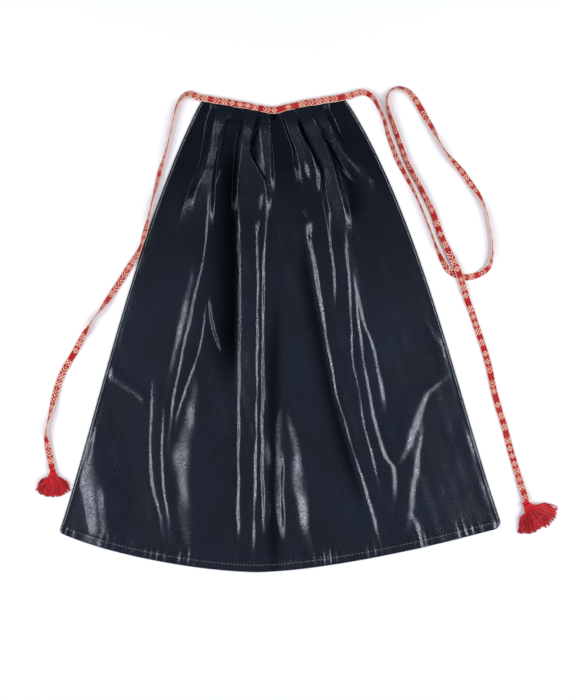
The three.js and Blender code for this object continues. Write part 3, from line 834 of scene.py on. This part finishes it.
# Folds of the lying cloth. Each is a low step that stands steeply to its left (-1) or right (1) and
# runs out gently behind. The side, how steep, the half widths of its steep face at its upper end,
# middle and lower end, and that face's line from the waist side down, in millimetres.
FOLDS = {
    "ridge_a": (-1, 1.22, (2, 2, 2.5), [
        (-116, 262), (-119, 201), (-126, 127), (-142, 54), (-158, -20), (-172, -88), (-181, -150),
        (-186, -224),
    ]),
    "ridge_a2": (-1, 0.6, (3, 5, 4), [(-136, 150), (-150, 70), (-166, 0), (-182, -70), (-190, -120)]),
    "apex_wide": (-1, 1.1, (4, 14, 8), [
        (-136, -40), (-149, -137), (-162, -186), (-162, -235), (-157, -295), (-151, -370),
    ]),
    "apex_b": (-1, 1.22, (2, 2, 2.5), [
        (-119, 88), (-121, 62), (-127, 5), (-139, -47), (-157, -95), (-170, -140), (-177, -190),
    ]),
    "apex_leg": (1, 1.22, (2, 2.4, 2), [(-120, 68), (-113, 21), (-105, -11), (-94, -42)]),
    "thin_c1": (-1, 1.22, (1.8, 2, 2.5), [
        (-209, -55), (-212, -126), (-214, -186), (-211, -240), (-201, -284), (-188, -350),
    ]),
    "thin_c2": (-1, 1.22, (1.8, 2, 2.5), [
        (-191, -95), (-194, -186), (-193, -240), (-185, -294), (-180, -350),
    ]),
    "column_d": (-1, 1.22, (1.4, 1.6, 2.8), [
        (-70, 240), (-69, 180), (-67, 54), (-69, -109), (-70, -370),
    ]),
    "column_e": (1, 1.22, (1.4, 1.8, 3), [(-47, 230), (-39, 141), (-39, -28), (-41, -191), (-46, -385)]),
    "column_f": (1, 1.22, (2, 2, 2.5), [(-18, 225), (-27, 141), (-29, -28), (-31, -191), (-27, -365)]),
    "wide_h": (1, 0.8, (4, 10, 8), [
        (2, -95), (10, -126), (23, -180), (27, -235), (37, -295), (48, -385),
    ]),
    "beside_h": (-1, 1.22, (2, 2.4, 2.4), [(3, -190), (2, -257), (5, -340)]),
    "ridge_r1": (1, 1.22, (5, 2, 2.5), [
        (33, 230), (44, 168), (59, 87), (72, 5), (93, -105), (108, -158), (124, -212), (142, -268),
        (168, -375),
    ]),
    "ridge_r2": (-1, 1.22, (2, 2, 2), [(66, 236), (73, 200), (85, 114), (90, 30)]),
    "ridge_r3": (1, 1.22, (2, 2, 2), [
        (104, 190), (107, 141), (113, 59), (118, -49), (129, -105), (137, -158), (150, -203),
        (166, -290),
    ]),
    "ridge_r4": (1, 1.22, (2, 2.4, 5), [
        (116, 110), (122, 66), (130, -10), (141, -80), (155, -150), (170, -200), (184, -220),
        (185, -262), (184, -310),
    ]),
    "ridge_r5": (1, 1.22, (2.4, 2.4, 4), [(116, 110), (134, 25), (150, -23), (164, -85), (172, -150)]),
    "fork": (1, 1.05, (4, 7, 5), [
        (290, -55), (268, -75), (240, -100), (226, -131), (212, -175), (200, -203), (190, -216),
        (180, -232),
    ]),
    "branch_low": (1, 0.95, (4, 5, 5), [(234, -130), (229, -176), (220, -230), (212, -290), (204, -350)]),
    "branch_foot": (1, 0.9, (3, 5, 5), [(212, -290), (226, -325), (240, -370)]),
    "corner": (-1, 0.95, (4, 12, 6), [
        (-306, -130), (-313, -175), (-318, -225), (-314, -275), (-304, -335),
    ]),
    "corner_in": (-1, 0.9, (4, 6, 5), [(-296, -240), (-292, -290), (-284, -345)]),
    "patch_outer": (1, 1.0, (1.6, 2.4, 1.6), [(-97, 274), (-101, 258), (-108, 240)]),
    "patch_third": (1, 0.95, (3, 4, 3), [(-30, 233), (-33, 214), (-36, 196)]),
    "patch_lower": (1, 0.95, (2, 3, 2), [(-36, 188), (-37, 175), (-38, 163)]),
    "patch_inner": (1, 0.95, (2, 3.5, 2), [(40, 281), (43, 265), (47, 249)]),
    "patch_second": (1, 0.95, (1.6, 2.4, 1.6), [(59, 258), (61, 245), (63, 231)]),
    "patch_middle": (1, 0.95, (5, 4, 1.6), [(50, 187), (48, 168), (45, 145)]),
    "patch_high": (1, 0.95, (1.6, 2, 1.6), [(-58, 347), (-59, 342), (-60, 336)]),
    "edge_high": (1, 0.6, (3, 4, 3), [(236, 30), (246, 5), (262, -25)]),
    "edge_middle": (1, 0.65, (3, 5, 3), [(308, -150), (315, -180), (328, -215)]),
    "edge_low": (1, 0.7, (3, 4, 3), [(336, -235), (343, -262), (348, -290)]),
}
STEEPNESS = 0.236  # a fold's steep face, at the panel's middle
STEEPNESS_DRIFT = 0.32  # how much flatter per metre towards the side it faces
FOLD_RUN = 0.03  # how far the lowest fold runs out behind its steep face
RUN_PER_HEIGHT = 22
FACE_ROUNDING = 0.3  # of a steep face's half width
HOLLOW_LINE = [(-9, 40), (-11, -60), (-13, -158), (-12, -257), (-10, -392)]
HOLLOW_DEPTH = 0.0022
HOLLOW_REACH = 0.012
# Painted shade, with the gloss also taken away, where the pleats overhang and along the valleys beside
# the folds: strength, reach to the left and to the right, line.
PAINTED_SHADE_LINES = {
    "left_of_outer": (0.6, 16, 3, [(-106, 361), (-114, 333), (-120, 306), (-129, 283), (-140, 255)]),
    "right_of_outer": (0.9, 3, 6, [(-80, 358), (-91, 339), (-98, 325), (-104, 305)]),
    "left_of_third": (0.8, 5, 2, [(-62, 361), (-66, 343), (-70, 318)]),
    "left_valley": (1.0, 40, 9, [
        (-74, 325), (-76, 283), (-78, 240), (-78, 185), (-77, 120), (-77, 54), (-78, -20), (-80, -70),
    ]),
    "right_of_third": (1.0, 4, 9, [
        (-36, 361), (-42, 333), (-48, 315), (-46, 298), (-36, 280), (-26, 262),
    ]),
    "inner_gap": (1.0, 5, 7, [(28, 351), (37, 327), (51, 298), (63, 274), (70, 250)]),
    "outer_gap": (1.0, 4, 9, [(52, 353), (73, 315), (92, 278), (104, 252), (110, 235)]),
    "right_valley": (0.8, 8, 30, [(99, 285), (108, 258), (114, 225), (114, 180)]),
    "side_gap": (0.8, 5, 6, [(72, 361), (92, 327), (108, 303), (122, 289)]),
    "outer_foot": (0.65, 18, 14, [(-140, 250), (-150, 220), (-160, 185)]),
    "inner_foot": (0.8, 6, 5, [(24, 275), (28, 258), (30, 235)]),
    "middle_gap": (1.0, 7, 7, [(-12, 364), (-12, 352), (-11, 344)]),
    "under_g": (0.7, 15, 12, [(-8, 30), (-10, 0), (-12, -60), (-13, -158), (-13, -257), (-10, -395)]),
    "beside_r1": (0.75, 16, 5, [
        (36, 150), (50, 60), (61, 5), (82, -105), (97, -158), (113, -212), (130, -268),
    ]),
}
# Broad swellings: middle, reach across and down, height, in millimetres.
SWELLINGS = [(8.5, 259, 17, 17, 0.8), (-290, -300, 26, 60, 1.2), (262, -20, 16, 24, 0.9)]
CREASE = [(-285, -58), (-275, -65), (-247, -87), (-214, -113)]
CREASE_HEIGHT = 0.0011
CREASE_WIDTH = 0.006
FOLD_FADE = 0.09  # length over which a fold rises at its ends
FOLD_TIP = 0.004  # how far a fold runs on past its line's ends
FOLD_WAVES = ((0.0005, 75), (0.0002, 260))  # its line's wander: metres, radians a metre
FOLD_UNEVENNESS = ((0.09, 41), (0.06, 97))  # of its steepness: share, radians a metre
CREST_SOFTNESS = 0.0028  # rounding of a pleat's crest
FOOT_SOFTNESS = 0.0007  # rounding of its feet
CREASE_SOFTER = 2.2
# length over which a stretch of painted shade fades in at its ends
SHADE_LINE_FADE = 0.07
FACE_SHADE_CUT = 0.75  # how much less painted shade a pleat's raised face gets than the cloth between
PLEAT_TOP = 0.006  # height from which a face gets the least painted shade
PLEAT_START = 0.45  # a pleat's height just below the band, as a share of its full height
PLEAT_RISE = (0.008, 0.04)  # distances below the band's edge over which it reaches that
PLEAT_TILT = 0.08  # how much lower a face stands at its far edge
LEAN_FADE = (0.05, 0.16)
# Painted shade, with gloss taken away, that grows towards the waist: how much, and the heights that it
# grows between.
WAIST_SHADE = ((0.32, 0.02, 0.2), (0.3, 0.2, 0.28))
SHADE_LINE_TAPER = 0.3  # a stretch of painted shade's width at its ends
CLOTH_BASE = 0.0012
WOOL_THICKNESS = 0.0009


def tent(d, left, right, softer=1):
    """1 at 0, falling in straight flanks of the two widths, with its crest and feet rounded."""
    width = np.where(d < 0, left, right)
    crest, foot = CREST_SOFTNESS * softer, FOOT_SOFTNESS * softer
    from_foot = width - (np.hypot(d, crest) - crest)
    return np.logaddexp(0, from_foot / foot) * foot / width


def step_down(d, face, run):
    """Rises gently over the run up to 0, then falls in a straight face of the given half width."""
    rounding = face * FACE_ROUNDING
    before, after = (d + face) / rounding, (d - face) / rounding
    fallen = (np.logaddexp(0, before) - np.logaddexp(0, after)) * rounding / (2 * face)
    return (1 - fallen) * (1 - smoothstep(-d, 0.0, run))


def pleat_relief(x, y, down):
    """The pleats' height and how far each point leans over to the side."""
    z, lean_over = np.zeros_like(x), np.zeros_like(x)
    rise = PLEAT_START + (1 - PLEAT_START) * smoothstep(down, *PLEAT_RISE)
    for height, left, right, lean, edges in PLEATS.values():
        left_line, _ = centripetal([(a * MM, y_ * MM, 0) for a, _, y_ in edges], 10)
        right_line, _ = centripetal([(b * MM, y_ * MM, 0) for _, b, y_ in edges], 10)
        low_x = np.interp(y, left_line[::-1, 1], left_line[::-1, 0])
        high_x = np.interp(y, right_line[::-1, 1], right_line[::-1, 0])
        middle, half = (low_x + high_x) / 2, (high_x - low_x) / 2
        offset = x - middle
        beyond = np.sign(offset) * np.maximum(np.abs(offset) - half, 0)
        tilt = PLEAT_TILT * np.clip(offset / np.maximum(half, 0.001), -1, 1) * np.sign(lean)
        face = 1 - PLEAT_TILT + tilt
        foot = edges[-1][2] * MM
        fade = smoothstep(y, foot, foot + PLEAT_FADE)
        wider = MM * (1 + PLEAT_SPREAD * (1 - fade))
        part = height * MM * rise * face * fade * tent(beyond, left * wider, right * wider)
        z = np.maximum(z, part)
        lean_over += lean * part * (1 - smoothstep(down, *LEAN_FADE))
    return z, lean_over


def fade_ends(y, ys, inward, below=0.0, above=0.0):
    """1 between a line's ends and 0 past them, fading inward from a little outside each end."""
    risen = smoothstep(y, ys[0] - below, ys[0] + inward)
    return risen * (1 - smoothstep(y, ys[-1] - inward, ys[-1] + above))


def fold_line(line):
    """The points along a line in millimetres, from its lower end up, in metres."""
    smooth, _ = centripetal([(a * MM, b * MM, 0) for a, b in line], 12)
    order = np.argsort(smooth[:, 1])
    return smooth[order, 0], smooth[order, 1]


def fold_relief(x, y):
    """The relief of the lying cloth at points of its plan."""
    z = np.zeros_like(x)
    for number, (side, share, widths, line) in enumerate(FOLDS.values()):
        xs, ys = fold_line(line)
        line_x = np.interp(y, ys, xs)
        for size, rate in FOLD_WAVES:
            line_x = line_x + size * np.sin(y * rate + number)
        fade_length = min(FOLD_FADE, (ys[-1] - ys[0]) * 0.3)
        fade = fade_ends(y, ys, fade_length, FOLD_TIP, FOLD_TIP)
        upper, middle, lower = widths
        face = MM * np.interp(y, [ys[0], (ys[0] + ys[-1]) / 2, ys[-1]], [lower, middle, upper])
        steep = share * (STEEPNESS - side * STEEPNESS_DRIFT * line_x)
        (slow, slow_rate), (fast, fast_rate) = FOLD_UNEVENNESS
        uneven = 1 + slow * np.sin(y * slow_rate + 2 * number) + fast * np.sin(y * fast_rate + number)
        height = steep * uneven * fade * face * 2
        z += height * step_down(side * (x - line_x), face, FOLD_RUN + RUN_PER_HEIGHT * height)
    xs, ys = fold_line(HOLLOW_LINE)
    across = (x - np.interp(y, ys, xs)) / HOLLOW_REACH
    ends = fade_ends(y, ys, FOLD_FADE, FOLD_TIP)
    z -= HOLLOW_DEPTH * ends * np.exp(-across ** 2)
    xs, ys = fold_line(CREASE)
    z += CREASE_HEIGHT * line_profile(x, y, np.stack([xs, ys], -1), CREASE_WIDTH)
    for middle_x, middle_y, reach_x, reach_y, height in SWELLINGS:
        away = ((x / MM - middle_x) / reach_x) ** 2 + ((y / MM - middle_y) / reach_y) ** 2
        z += height * MM * np.exp(-away)
    return z


def shade_map(x, y, pleats):
    """0 to 1: how much shade is painted on the cloth, with its gloss taken away, between the pleats and
    beside the overhanging folds.
    """
    shade = sum(share * smoothstep(y, low, high) for share, low, high in WAIST_SHADE)
    # Painted light: raised pleat faces keep less of the painted shade, so they read as lit.
    shade *= 1 - FACE_SHADE_CUT * np.clip(pleats / PLEAT_TOP, 0, 1)
    for strength, left, right, line in PAINTED_SHADE_LINES.values():
        smooth, _ = centripetal([(a * MM, b * MM, 0) for a, b in line], 10)
        ys, xs = smooth[::-1, 1], smooth[::-1, 0]
        beside = x - np.interp(y, ys, xs)
        fade = min(SHADE_LINE_FADE, (ys[-1] - ys[0]) * 0.3)
        ends = fade_ends(y, ys, fade, fade, fade)
        reach = np.where(beside < 0, left, right) * MM * (SHADE_LINE_TAPER + (1 - SHADE_LINE_TAPER) * ends)
        shade = np.maximum(shade, strength * ends * np.exp(-np.abs(beside / reach) ** 2))
    return shade


def line_profile(x, y, line, width):
    """1 on a line, falling to 0 away from it and towards its ends."""
    length = arc_lengths(line)
    best = np.full(x.shape, 1e9)
    share = np.zeros(x.shape)
    for k in range(len(line) - 1):
        a, b = line[k], line[k + 1]
        way = b - a
        along = np.clip(((x - a[0]) * way[0] + (y - a[1]) * way[1]) / (way @ way), 0, 1)
        gap = np.hypot(x - a[0] - along * way[0], y - a[1] - along * way[1])
        closer = gap < best
        best = np.where(closer, gap, best)
        reached = length[k] + along * (length[k + 1] - length[k])
        share = np.where(closer, reached / length[-1], share)
    ends = smoothstep(share, -0.02, 0.16) * (1 - smoothstep(share, 0.84, 1.02))
    return ends * tent(best, width, width, CREASE_SOFTER)


def wander(x, y, seed, wave_x, wave_y, count=7):
    """A smooth random field of about -1 to 1, from a few sines round a wavelength."""
    draw = np.random.default_rng(seed)
    total = np.zeros_like(x)
    for _ in range(count):
        kx = 2 * math.pi / wave_x * draw.uniform(0.6, 1.5) * draw.choice([-1, 1])
        ky = 2 * math.pi / wave_y * draw.uniform(0.6, 1.5)
        total += np.sin(kx * x + ky * y + draw.uniform(0, 2 * math.pi))
    return total / math.sqrt(count) / 1.2


COLUMNS = 600
ROWS = 470
HEM_CORNER_RADII = {"left": 0.005, "right": 0.014}


def blurred(z, reach):
    """The grid averaged over 2 * reach + 1 cells each way."""
    for axis in (0, 1):
        padded = np.pad(z, [(reach + 1, reach) if k == axis else (0, 0) for k in (0, 1)], mode="edge")
        total = np.cumsum(padded, axis=axis)
        wide = 2 * reach + 1
        z = (np.take(total, range(wide, total.shape[axis]), axis)
             - np.take(total, range(total.shape[axis] - wide), axis)) / wide
    return z


SWELL_COLUMNS, SWELL_ROWS = 60, 64
SWELL_FRAMES = 30
SWELL_HEIGHT = 0.0006  # twice the standard deviation of the swells as they are added
SWELL_START, SWELL_WAVES = 0.012, 0.004  # the coarse copy's first height, and its waves'
SWELL_POINT_MASS = 0.0002  # kilograms for each of its points
SWELL_FULLNESS = 0.012  # how much more cloth than its outline holds
SWELL_GAP = 0.001  # kept by the cloth and by the floor when they meet


def simulated_swell():
    """Broad swells: a coarse wavy copy, cut a little full and held at its waist, sinks for a moment.

    It hasn't settled when it is read, so a part of its random starting shape stays in the swells.
    """
    across, t = np.meshgrid(np.linspace(0, 1, SWELL_COLUMNS), np.linspace(0, 1, SWELL_ROWS))
    plan = plan_point(across, t)
    z = SWELL_START + SWELL_WAVES * wander(plan[..., 0], plan[..., 1], 3, 0.11, 0.5)
    vertices = np.stack([plan[..., 0], plan[..., 1], z], -1).reshape(-1, 3)
    cloth = mesh_object("sinking_cloth", vertices, grid_faces(SWELL_ROWS, SWELL_COLUMNS), WOOL)
    cloth.vertex_groups.new(name="waist").add(list(range(SWELL_COLUMNS)), 1.0, "REPLACE")
    settings = cloth.modifiers.new("sink", "CLOTH").settings
    settings.quality = 6
    settings.mass = SWELL_POINT_MASS
    settings.air_damping = 4
    settings.bending_stiffness = 0.002
    settings.shrink_min = -SWELL_FULLNESS
    settings.vertex_group_mass = "waist"
    floor = mesh_object("sinking_floor", *square(1, 0), WOOL)
    floor.modifiers.new("floor", "COLLISION")
    floor.collision.thickness_outer = SWELL_GAP
    cloth.modifiers["sink"].collision_settings.distance_min = SWELL_GAP
    for step in range(1, SWELL_FRAMES + 1):
        bpy.context.scene.frame_set(step)
    sunk = cloth.evaluated_get(bpy.context.evaluated_depsgraph_get())
    flat = np.empty(len(sunk.data.vertices) * 3, np.float32)
    sunk.data.vertices.foreach_get("co", flat)
    fallen = flat.reshape(SWELL_ROWS, SWELL_COLUMNS, 3)[..., 2].astype(float)
    bpy.context.scene.frame_set(1)
    for used in (cloth, floor):
        bpy.data.objects.remove(used)
    fallen = blurred(fallen, 1)
    fallen = (fallen - fallen.mean()) / fallen[SWELL_ROWS // 6:].std() * SWELL_HEIGHT / 2
    fine = np.linspace(0, SWELL_ROWS - 1, ROWS)
    wide = np.stack([np.interp(fine, np.arange(SWELL_ROWS), column) for column in fallen.T], -1)
    fine = np.linspace(0, SWELL_COLUMNS - 1, COLUMNS)
    return blurred(np.stack([np.interp(fine, np.arange(SWELL_COLUMNS), row) for row in wide]), 8)


def rounded_corner(across, t, left):
    """Shares moved in so that a hem corner is cut round."""
    radius = HEM_CORNER_RADII["left" if left else "right"]
    inward = across if left else 1 - across
    u = 1 - inward * HEM_WIDTH / radius
    v = 1 - (1 - t) * CLOTH_LENGTH / radius
    corner = (u > 0) & (v > 0)
    round_u = u * np.sqrt(np.maximum(1 - v ** 2 / 2, 0))
    round_v = v * np.sqrt(np.maximum(1 - u ** 2 / 2, 0))
    moved = (1 - round_u) * radius / HEM_WIDTH
    across = np.where(corner, moved if left else 1 - moved, across)
    return across, np.where(corner, 1 - (1 - round_v) * radius / CLOTH_LENGTH, t)


HEAD_RISE = 0.0028  # of the cloth just under the band
FINE_WRINKLES = 0.0001
PUCKER_HEIGHT, PUCKER_REACH = 0.00036, 0.014  # of the stitched hem
HEM_FOLD, SIDE_FOLD = 0.0005, 0.0006  # height that the doubled cloth adds
SHADE_FULL_DEPTH = 0.0026  # depth below its surroundings at which the painted shade is darkest
# Distances from the waist edge or from the hem, between which something starts or stops.
BAND_SHADOW = (0.012, 0.06)
PRESSED_HEAD = (0.0055, 0.0085)
HEM_TURN = (0.012, 0.017)
PUCKER_LINE = 0.013


def hem_puckers(across, from_hem):
    """The turned-up hem's stitches draw the cloth into small puckers of uneven size."""
    pucker = np.sin(across * 2 * math.pi * 46 + 3.1 * np.sin(across * 61) + 2.4 * np.sin(across * 23))
    pucker *= 0.55 + 0.45 * np.sin(across * 37 + 2.0 * np.sin(across * 19))
    sharp = np.sign(pucker) * np.abs(pucker) ** 0.7
    return PUCKER_HEIGHT * sharp * np.exp(-((from_hem - PUCKER_LINE) / PUCKER_REACH) ** 2)


def build_panel():
    across, t = np.meshgrid(np.linspace(0, 1, COLUMNS), np.linspace(0, 1, ROWS))
    plan = plan_point(*rounded_corner(*rounded_corner(across, t, True), False))
    x, y = plan[..., 0], plan[..., 1]
    down = t * CLOTH_LENGTH

    pleats, lean_over = pleat_relief(x, y, down)
    below_band = smoothstep(down, *BAND_SHADOW)
    z = CLOTH_BASE + pleats + HEAD_RISE * (1 - below_band)
    z += fold_relief(x, y) * smoothstep(t, 0.02, 0.06)

    to_side = np.minimum(across, 1 - across)
    calm = smoothstep(to_side, 0.0, 0.02)
    z += calm * simulated_swell() * smoothstep(t, 0.05, 0.3)
    z += calm * FINE_WRINKLES * wander(x, y, 4, 0.035, 0.11)

    from_hem = (1 - t) * CLOTH_LENGTH
    z += hem_puckers(across, from_hem)
    z += HEM_FOLD * (1 - smoothstep(from_hem, *HEM_TURN))
    z += SIDE_FOLD * (1 - smoothstep(to_side * 0.6, 0.004, 0.006))

    z = CLOTH_BASE + np.maximum(z - CLOTH_BASE, -0.0004) * (0.25 + 0.75 * calm)
    z = np.where(z < CLOTH_BASE, CLOTH_BASE + (z - CLOTH_BASE) * 0.3, z)
    head = 1 - smoothstep(down, *PRESSED_HEAD)
    z = z * (1 - head) + (HEAD_THICKNESS - CLOTH_BASE) * head
    x = x + lean_over * (1 - head)

    vertices = np.stack([x, y, z], -1).reshape(-1, 3)
    obj = mesh_object("cloth_panel_sheet", vertices, grid_faces(ROWS, COLUMNS), WOOL)
    # Painted shade in the recesses: the deeper the cloth lies below its blurred surroundings, the darker
    # it is painted and the less gloss it keeps.
    painted_shade = np.clip((blurred(blurred(z, 9), 5) - z) / SHADE_FULL_DEPTH, 0, 1) * smoothstep(t, 0.01, 0.05)
    painted_shade = np.maximum(painted_shade, shade_map(x, y, pleats))
    shade = obj.data.color_attributes.new("painted_shade", "FLOAT_COLOR", "POINT")
    colours = np.repeat(painted_shade.reshape(-1, 1), 4, axis=1)
    shade.data.foreach_set("color", colours.astype(np.float32).ravel())
    thick = obj.modifiers.new("thickness", "SOLIDIFY")
    thick.thickness = WOOL_THICKNESS
    thick.offset = -1
    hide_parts("cloth_panel")
    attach(obj, "apron")
    return obj, (x, y, z)


panel, surface = build_panel()

# ---- Stitches --------------------------------------------------------------------------------


def stitches(name, points, length, gap, radius, material, node):
    """A row of short raised stitches of this length, gap and radius, along a line on the surface."""
    line, at = resample(np.asarray(points), 0.0004)
    parts = []
    place = gap
    while place + length < at[-1]:
        run = []
        for k in range(6):
            d = place + length * k / 5
            p = np.array([np.interp(d, at, line[:, m]) for m in range(3)])
            p[2] += radius * (1.7 * math.sin(math.pi * k / 5) - 0.5)
            run.append(p)
        parts.append(tube(run, radius, 5))
        place += (length + gap) * random.uniform(0.9, 1.1)
    obj = mesh_object(name, *join(parts), material)
    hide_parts(node)
    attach(obj, "apron")
    return obj


def hem_line():
    x, y, z = surface
    row = int(round((1 - HEM_STITCH_INSET / CLOTH_LENGTH) * (ROWS - 1)))
    keep = np.arange(6, x.shape[1] - 6)
    keep = keep[np.diff(x[row, keep], prepend=-9) > 0.0004]
    return np.stack([x[row, keep], y[row, keep], z[row, keep]], -1)


def side_line(left):
    """The side hem's stitching: a few millimetres inside the edge, all the way down."""
    points = []
    for t in np.linspace(0.012, 0.985, 260):
        edge = plan_point(0.0 if left else 1.0, t)
        inner = plan_point(0.05 if left else 0.95, t)
        way = (inner - edge) / np.linalg.norm(inner - edge)
        flat = edge + way * SIDE_STITCH_INSET
        points.append((flat[0], flat[1], 0.0))
    points = np.array(points)
    x, y, z = surface
    tree = KDTree(x.size)
    for i, (a, b) in enumerate(zip(x.ravel(), y.ravel())):
        tree.insert((a, b, 0), i)
    tree.balance()
    flat_z = z.ravel()
    points[:, 2] = [flat_z[tree.find((p[0], p[1], 0))[1]] for p in points]
    points[:, 2] = softened(points[:, 2], 3)
    return points


stitches(
    "hem_stitches", hem_line(), 0.0017, 0.0034, 0.0004, PALE_THREAD,
    "hem_stitch_thread",
)
for side in ("left", "right"):
    stitches(
        f"{side}_edge_stitches", side_line(side == "left"), 0.0026, 0.0005, 0.00042, PALE_THREAD,
        f"{side}_edge_stitch_thread",
    )

# ---- The waist -------------------------------------------------------------------------------

WAIST_WAVES = ((1, 0.00035, 190), (1, 0.00025, 83), (2, 0.0003, 150))  # axis, metres, radians a metre
SEAM_INSET = 0.0012
GATHER_SPACING, GATHER_OFFSET, GATHER_Z = 0.005, -0.001, 0.0014

wavy = WAISTBAND.copy()
length = arc_lengths(wavy)
for axis, size, rate in WAIST_WAVES:
    wavy[:, axis] += size * np.sin(length * rate)
waistband, _ = band_mesh("waistband_weave", wavy, np.zeros(len(wavy)), 5)
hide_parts("waistband")
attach(waistband, "apron")


def along_waist(offset, height):
    line = WAIST.copy()
    line[:, 1] += offset
    line[:, 2] = height
    return line


seam_z = BAND_Z + BAND_THICKNESS / 2
for side, way in (("upper", 1), ("lower", -1)):
    stitches(
        f"waistband_{side}_seam", along_waist(way * (BAND_WIDTH / 2 - SEAM_INSET), seam_z - 0.0003),
        0.0014, 0.0026, 0.00022, RED_THREAD, f"waistband_{side}_seam_thread",
    )
    gather = way * GATHER_SPACING / 2 + GATHER_OFFSET
    stitches(
        f"{side}_gathering_stitches", along_waist(gather, GATHER_Z), 0.004, 0.0012, 0.0003,
        LINEN, f"{side}_gathering_thread",
    )


TAPE_WIDTH = 0.01
TAPE_THICKNESS = 0.00076
TAPE_Z = 0.0004


def tape_mesh():
    line, _ = resample(along_waist(0, TAPE_Z), TIE_STEP)
    _, up, across = frames_along(line, np.zeros(len(line)))
    wide = (-1, -0.5, 0, 0.5, 1)
    profile = [(w, -1) for w in wide] + [(w, 1) for w in reversed(wide)]
    vertices = [
        p + a * w * TAPE_WIDTH / 2 + u * h * TAPE_THICKNESS / 2
        for p, u, a in zip(line, up, across) for w, h in profile
    ]
    return vertices, [face[::-1] for face in ring_faces(len(line), len(profile))]


tape = mesh_object("facing_tape", *tape_mesh(), LINEN, smooth=False)
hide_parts("waistband_facing_tape")
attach(tape, "apron")
